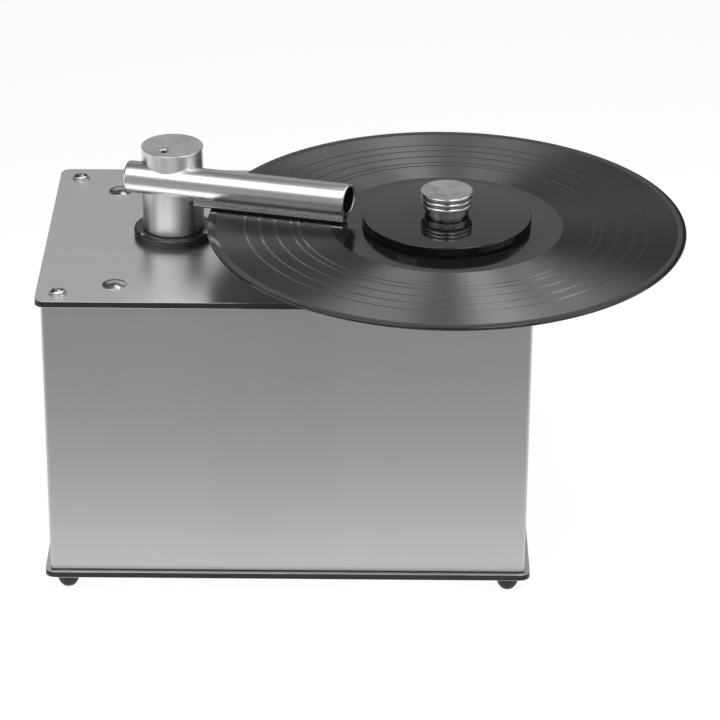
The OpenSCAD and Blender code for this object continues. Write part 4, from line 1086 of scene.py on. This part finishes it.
@dataclass
class Turntable:
    """The record on its platter, and the screw clamp that holds it."""

    record_r: float = 150.8
    record_t: float = 2.0
    dip: float = 0.15
    clamp_r: float = 53.3
    clamp_t: float = 6.0
    seal_t: float = 1.0
    knob_r: float = 16.5
    knob_h: float = 16.0

    def build(self) -> None:
        """Builds the record, the clamp disc and the knob."""
        self.record()
        self.clamp()
        self.knob()

    def record(self) -> None:
        """Builds the record in bands: thick rim and label, thinner where the grooves run."""
        r, t, d = self.record_r, self.record_t, self.dip
        edge = rounded([(147.2, t), (r - 0.5, t, 0.6), (r, t / 2, 0.9), (r - 0.5, 0.0, 0.6), (147.2, 0.0)], 6)
        middle = [(3.62, t - d), (50.0, t - d), (50.15, t), (57.4, t), (58.4, t - d), (65.0, t - d), (73.2, t - d)]
        music = np.stack([np.linspace(73.2, 145.3, 12), np.full(12, t - d)], -1)
        upper = np.array(middle)
        lead = np.array([(145.3, t - d), (146.2, t - d * 0.35), (147.2, t)])
        bands = [(upper, VINYL), (music, GROOVES), (np.concatenate([lead, edge[1:-1], self.turned_over(lead)]), VINYL)]
        bands += [(self.turned_over(music), GROOVES), (self.turned_over(upper), VINYL), (np.array([(3.62, d), (3.62, t - d)]), VINYL)]
        surfaces = [lathe(profile, LAY.spindle, LAY.record_top - t, 360) for profile, _ in bands]
        make_piece("record_disc", surfaces, [finish for _, finish in bands], "turntable", ("record",), sharp=28)

    def turned_over(self, profile: np.ndarray) -> np.ndarray:
        """The same profile on the record's lower side, run the other way."""
        return np.stack([profile[::-1, 0], self.record_t - profile[::-1, 1]], -1)

    def clamp(self) -> None:
        """Builds the polished clamp disc with its finely rounded rim."""
        r, t, bore = self.clamp_r, self.clamp_t, 3.85
        profile = rounded([(bore, 0.0), (r, 0.0, 0.5), (r, t, 0.45), (bore, t), (bore, 0.0)], 6)
        make_piece("clamp_disc_polished", [lathe(profile, LAY.spindle, LAY.record_top + self.seal_t, 256)], CLAMP, "clamp", ("clamp_disc",), sharp=30)

    def knob(self) -> None:
        """Builds the knob: an undercut foot, a plain neck, three rounded ribs, a dished top."""
        r, h, neck, rib, gap = self.knob_r, self.knob_h, 14.0, 2.7, 0.7
        corners: list[tuple[float, ...]] = [(3.85, 9.0), (3.85, 0.0), (12.2, 0.0, 0.2), (12.2, 1.6, 0.2), (neck, 1.6, 0.3)]
        for k in range(3):
            low = h - rib * (3 - k) - gap * (2 - k)
            corners += [(neck if k == 0 else 13.8, low, 0.2), (r, low, 0.95), (r, low + rib, 0.95)]
            if k < 2:
                corners.append((13.8, low + rib, 0.2))
        corners[-1] = (r, h, 0.8)
        profile = rounded([*corners, (14.9, h, 0.4)], 6)
        dish = np.array([(14.6, h - 0.02), (14.2, h - 0.06), (10.5, h - 0.34), (6.75, h - 0.56), (6.5, h - 0.62), (6.2, h - 0.62), (3.0, h - 0.74), (0.0, h - 0.8)])
        well = np.array([(0.0, 9.0), (3.85, 9.0)])
        parts = [lathe(np.concatenate([well, profile[1:], dish]), LAY.spindle, LAY.record_top + self.seal_t + self.clamp_t, 192)]
        make_piece("clamp_knob_turned", parts, KNOB, "knob", ("clamp_knob",), sharp=30)


@dataclass
class Insides:
    """Soft and wound pieces inside the case: hose, wires and the arm's lift spring."""

    wire_r: float = 1.6
    spring_r: float = 15.2
    spring_wire: float = 0.7
    spring_turns: float = 4.0
    routes: tuple[tuple[Point, ...], ...] = (
        ((261, 180.5, 44), (261, 170, 40), (260, 150, 24), (258, 120, 19), (252, 84, 19), (236, 72, 20), (214, 72, 23), (212, 84, 34), (212, 98, 42)),
        ((18, 46, 162), (26, 46, 158), (32, 52, 140), (34, 70, 90), (36, 72, 42), (52, 70, 24), (90, 66, 19), (140, 60, 19), (200, 58, 20), (240, 62, 33), (248, 70, 70), (250, 76, 100), (250, 77, 112)),
        ((18, 74, 162), (26, 74, 158), (32, 80, 140), (34, 100, 90), (36, 110, 42), (50, 116, 24), (90, 118, 19), (130, 116, 20), (141, 124, 23), (147.4, 132, 34)),
    )

    def build(self) -> None:
        """Builds the hose, the wires and the spring."""
        self.hose()
        self.wires()
        self.spring()

    def hose(self) -> None:
        """Builds the ribbed hose: straight, a quarter bend, then down onto the fan.

        Its outer radius is a steady value plus a small cosine of the length run, so that
        it has rounded ribs 5 mm apart, and plain cuffs at both ends.
        """
        u0, bend_u, fan_u, v, z, bend = 128.0, 147.0, 192.0, 137.0, 165.0, 45.0
        q = np.linspace(0, math.pi / 2, 90)
        level = np.stack([np.linspace(u0, bend_u, 24)[:-1], np.full(23, z)], -1)
        arc = np.stack([bend_u + bend * np.sin(q), z - bend + bend * np.cos(q)], -1)
        drop = np.stack([np.full(11, fan_u), np.linspace(z - bend, 108.0, 12)[1:]], -1)
        plan = np.concatenate([level, arc, drop])
        path = np.stack([LAY.case_left + plan[:, 0], np.full(len(plan), LAY.case_front + v), plan[:, 1]], -1)
        length = np.concatenate([[0], np.cumsum(np.linalg.norm(np.diff(path, axis=0), axis=1))])
        cuff = np.clip(np.minimum(length, length[-1] - length) / 8 - 0.6, 0, 1)
        outer = 13.2 - cuff * 0.55 * (1 + np.cos(length * 2 * math.pi / 5)) + 0.3 * (1 - cuff)
        shell, bore = along(path, outer, 48), along(path, np.full(len(path), 11.06), 48)
        ends = [grid(np.stack([shell.points.reshape(len(path), -1, 3)[k], bore.points.reshape(len(path), -1, 3)[k]])) for k in (0, -1)]
        make_piece("ribbed_suction_hose", [shell, bore, *ends], HOSE, "case", ("suction_hose",), sharp=50)

    def wires(self) -> None:
        """Builds the three wires, each on one smooth curve, closed at both ends."""
        parts = []
        for route in self.routes:
            knots = np.array(route, float) + np.array([LAY.case_left, LAY.case_front, 0.0])
            path = smooth_route(knots, 8)
            path = np.concatenate([path[:1], path, path[-1:]])
            path[0] = path[1] - 1e-3 * (path[2] - path[1])
            path[-1] = path[-2] + 1e-3 * (path[-2] - path[-3])
            radii = np.full(len(path), self.wire_r)
            radii[[0, -1]] = 0.0
            parts.append(along(path, radii, 14))
        make_piece("wire_loom_sleeved", parts, WIRE, "case", ("wiring_loom",), sharp=60)

    def spring(self) -> None:
        """Builds the lift spring as a helix that stretches between the flange and the washer."""
        low, high = LAY.deck + 5.5 + 0.8, LAY.deck + 18.0 - 0.8
        a = np.linspace(0, 2 * math.pi * self.spring_turns, 200)
        rise = low + (high - low) * a / a[-1]
        path = np.stack([LAY.column[0] + self.spring_r * np.cos(a), LAY.column[1] + self.spring_r * np.sin(a), rise], -1)
        radii = np.full(len(path), self.spring_wire)
        radii[[0, -1]] = 0.0
        piece = make_piece("lift_spring_wound", [along(path, radii, 12)], SPRING, "", ("lift_spring",), sharp=60)
        x, y = LAY.column
        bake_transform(piece)


@dataclass
class CadFinishes:
    """Puts a finish on every CAD node, by the record's material slots."""

    frame: dict[str, object] = field(default_factory=dict)

    def build(self) -> None:
        """Dresses all the nodes, those that are replaced among them."""
        for part in self.frame["record"]["subparts"]:
            mesh = self.frame["nodes"][part["node"]].data
            mesh.materials.clear()
            mesh.materials.append(self.finish(part["node"], part["material_slot"]).material())

    def finish(self, node: str, slot: str) -> Finish:
        """The finish of a node: its slot's, but never one that reads the piece's own map."""
        found = BY_SLOT[slot]
        if found.pattern is Pattern.SLEEVE:
            return MACHINED if found.metallic > 0.5 else BLACK_PLASTIC
        return found


# ------------------------------------------------------------------ studio


@dataclass
class Softbox:
    """One soft lamp: where it stands, what it looks at, its size and how bright it looks."""

    name: str
    place: Point
    target: Point
    size: tuple[float, float]
    radiance: float

    def build(self) -> None:
        """Makes the lamp; its power is its brightness times pi times its area."""
        lamp = bpy.data.lights.new(self.name, "AREA")
        lamp.shape = "RECTANGLE"
        lamp.size, lamp.size_y = self.size
        lamp.energy = self.radiance * math.pi * self.size[0] * self.size[1]
        stand = bpy.data.objects.new(self.name, lamp)
        bpy.context.scene.collection.objects.link(stand)
        stand.location = self.place
        look = Vector(self.target) - Vector(self.place)
        stand.rotation_euler = look.to_track_quat("-Z", "Y").to_euler()
        stand.visible_camera = False


@dataclass
class Studio:
    """Floor, world, lamps and camera."""

    focal: float = 3214.50587
    pitch: float = 0.46405
    roll: float = 0.00795
    yaw: float = 0.00062
    eye: Point = (-54.85503, -1847.33417, 827.9861)
    lamps: tuple[Softbox, ...] = (
        Softbox("back screen", (-0.30, 1.88, 1.30), (0.0, 0.0, 0.2), (1.5, 1.15), 0.43),
        Softbox("strip right", (1.47, -0.54, 0.53), (0.0, 0.0, 0.2), (1.7, 0.55), 1.4),
        Softbox("strip left", (-1.48, -0.54, 0.48), (0.0, 0.0, 0.2), (1.6, 0.5), 1.3),
        Softbox("box left", (-1.03, -0.72, 1.19), (0.0, 0.0, 0.2), (0.75, 0.42), 1.8),
        Softbox("front soft", (0.20, -1.90, 0.55), (0.0, 0.0, 0.2), (2.0, 0.8), 0.75),
        Softbox("box right", (1.16, 0.54, 1.16), (0.0, 0.0, 0.2), (0.8, 0.42), 0.9),
        Softbox("overhead", (0.19, 0.33, 1.75), (0.0, 0.0, 0.2), (0.7, 0.5), 1.6),
        Softbox("long wide left", (-0.36, -0.40, 0.82), (-0.36, -0.40, 0.0), (0.34, 0.6), 3.5),
        Softbox("long left", (-0.12, -0.36, 0.82), (-0.12, -0.36, 0.0), (0.14, 0.6), 2.6),
        Softbox("long middle", (0.22, -0.26, 0.82), (0.22, -0.26, 0.0), (0.14, 0.64), 4.9),
        Softbox("long right", (0.40, -0.38, 0.82), (0.40, -0.38, 0.0), (0.14, 0.6), 5.0),
        Softbox("short right", (0.40, 0.20, 0.82), (0.40, 0.20, 0.0), (0.14, 0.3), 6.2),
    )

    def build(self) -> None:
        """Builds the whole studio."""
        self.floor()
        self.world()
        for lamp in self.lamps:
            lamp.build()
        self.camera()
        log.info("studio built with %d lamps", len(self.lamps))

    def floor(self) -> None:
        """A pale floor: white to the camera under a soft shadow, and darker far in front.

        In reflections its brightness falls with the distance in front of the machine, as
        where a table ends under a lamp.
        """
        half = 6.0
        mesh = bpy.data.meshes.new("floor")
        corners = np.array([(-half, -half, 0), (half, -half, 0), (half, half, 0), (-half, half, 0)], float)
        mesh.from_pydata(corners, [], [(0, 1, 2, 3)])
        floor = bpy.data.objects.new("floor", mesh)
        bpy.context.scene.collection.objects.link(floor)
        material = bpy.data.materials.new("pale floor")
        material.use_nodes = True
        wires = Wiring(material.node_tree)
        material.node_tree.nodes.clear()
        out = wires.add("ShaderNodeOutputMaterial")
        paint = wires.add("ShaderNodeBsdfDiffuse")
        paint.inputs["Color"].default_value = (0.8, 0.8, 0.8, 1)
        white = wires.add("ShaderNodeEmission")
        white.inputs["Strength"].default_value = 0.86
        both = wires.add("ShaderNodeAddShader")
        dim = wires.add("ShaderNodeMixShader")
        dim.inputs[0].default_value = 0.35
        wires.link(paint.outputs[0], dim.inputs[2])
        wires.link(white.outputs[0], both.inputs[0])
        wires.link(dim.outputs[0], both.inputs[1])
        seen = wires.add("ShaderNodeEmission")
        ramp = wires.add("ShaderNodeValToRGB")
        where = wires.add("ShaderNodeSeparateXYZ")
        wires.link(wires.add("ShaderNodeTexCoord").outputs["Object"], where.inputs[0])
        wires.link(wires.math("MULTIPLY_ADD", where.outputs["Y"], 0.5, 1.0), ramp.inputs[0])
        levels = ((-1.6, 0.56), (-1.0, 0.54), (-0.75, 0.38), (-0.58, 0.18), (-0.45, 0.19), (-0.28, 0.47), (-0.12, 0.90), (0.0, 0.95))
        marks = ramp.color_ramp.elements
        marks[0].position, marks[0].color = 0.0, (0.5, 0.5, 0.5, 1)
        marks.remove(marks[1])
        for y, level in levels:
            marks.new(1.0 + 0.5 * y).color = (level, level, level, 1)
        wires.link(ramp.outputs[0], seen.inputs["Color"])
        path = wires.add("ShaderNodeLightPath")
        mirror = wires.math("MAXIMUM", path.outputs["Is Glossy Ray"], path.outputs["Is Transmission Ray"])
        first, second = wires.add("ShaderNodeMixShader"), wires.add("ShaderNodeMixShader")
        wires.link(path.outputs["Is Camera Ray"], first.inputs[0])
        wires.link(paint.outputs[0], first.inputs[1])
        wires.link(both.outputs[0], first.inputs[2])
        wires.link(mirror, second.inputs[0])
        wires.link(first.outputs[0], second.inputs[1])
        wires.link(seen.outputs[0], second.inputs[2])
        wires.link(second.outputs[0], out.inputs["Surface"])
        mesh.materials.append(material)

    def world(self) -> None:
        """White to the camera; for the rest an even dim grey, a little brighter overhead."""
        world = bpy.data.worlds.new("studio")
        bpy.context.scene.world = world
        world.use_nodes = True
        tree = world.node_tree
        tree.nodes.clear()
        wires = Wiring(tree)
        out = wires.add("ShaderNodeOutputWorld")
        sky, white = wires.add("ShaderNodeBackground"), wires.add("ShaderNodeBackground")
        split = wires.add("ShaderNodeSeparateXYZ")
        wires.link(wires.add("ShaderNodeTexCoord").outputs["Generated"], split.inputs[0])
        depth = wires.add("ShaderNodeValToRGB")
        wires.link(wires.math("MULTIPLY_ADD", split.outputs["Y"], 0.5, 0.5), depth.inputs[0])
        marks = depth.color_ramp.elements
        marks[0].position, marks[0].color = 0.0, (0.06, 0.06, 0.06, 1)
        marks[1].position, marks[1].color = 1.0, (0.06, 0.06, 0.06, 1)
        lift = wires.add("ShaderNodeValToRGB")
        wires.link(split.outputs["Z"], lift.inputs[0])
        lift.color_ramp.elements[0].position, lift.color_ramp.elements[0].color = 0.5, (0, 0, 0, 1)
        lift.color_ramp.elements[1].position, lift.color_ramp.elements[1].color = 0.9, (1, 1, 1, 1)
        mix = wires.add("ShaderNodeMix", data_type="RGBA")
        wires.link(lift.outputs[0], mix.inputs[0])
        wires.link(depth.outputs[0], mix.inputs[6])
        mix.inputs[7].default_value = (0.10, 0.10, 0.10, 1)
        wires.link(mix.outputs[2], sky.inputs["Color"])
        shown = wires.add("ShaderNodeMixShader")
        wires.link(wires.add("ShaderNodeLightPath").outputs["Is Camera Ray"], shown.inputs[0])
        wires.link(sky.outputs[0], shown.inputs[1])
        white.inputs["Color"].default_value = (1, 1, 1, 1)
        wires.link(white.outputs[0], shown.inputs[2])
        wires.link(shown.outputs[0], out.inputs["Surface"])

    def camera(self) -> None:
        """The photograph's camera: a pinhole fitted to the record's rim and the case's edges."""
        data = bpy.data.cameras.new("camera")
        data.sensor_width = 36.0
        data.lens = self.focal * 36.0 / 720.0
        data.clip_start, data.clip_end = 0.05, 50.0
        ahead = Vector((math.sin(self.yaw) * math.cos(self.pitch), math.cos(self.yaw) * math.cos(self.pitch), -math.sin(self.pitch)))
        side = Vector((math.cos(self.yaw), -math.sin(self.yaw), 0.0))
        up = side.cross(ahead)
        right = side * math.cos(self.roll) + up * math.sin(self.roll)
        top = up * math.cos(self.roll) - side * math.sin(self.roll)
        camera = bpy.data.objects.new("camera", data)
        bpy.context.scene.collection.objects.link(camera)
        place = Vector((LAY.spindle[0] + self.eye[0], LAY.spindle[1] + self.eye[1], LAY.record_top + self.eye[2])) * MM
        camera.matrix_world = Matrix.Translation(place) @ Matrix((right, top, -ahead)).transposed().to_4x4()
        bpy.context.scene.camera = camera


def main() -> None:
    """Loads the frame, dresses it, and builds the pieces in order."""
    logging.basicConfig(level=logging.INFO, format="%(name)s: %(message)s")
    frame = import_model()
    CadFinishes(frame).build()
    for assembly in (Panels(), Wrap(), Fasteners(), Arm(), Turntable(), Insides(), Studio()):
        log.info("building %s", type(assembly).__name__)
        assembly.build()
    bpy.context.scene.view_settings.view_transform = "Standard"


if __name__ == "__main__":
    main()
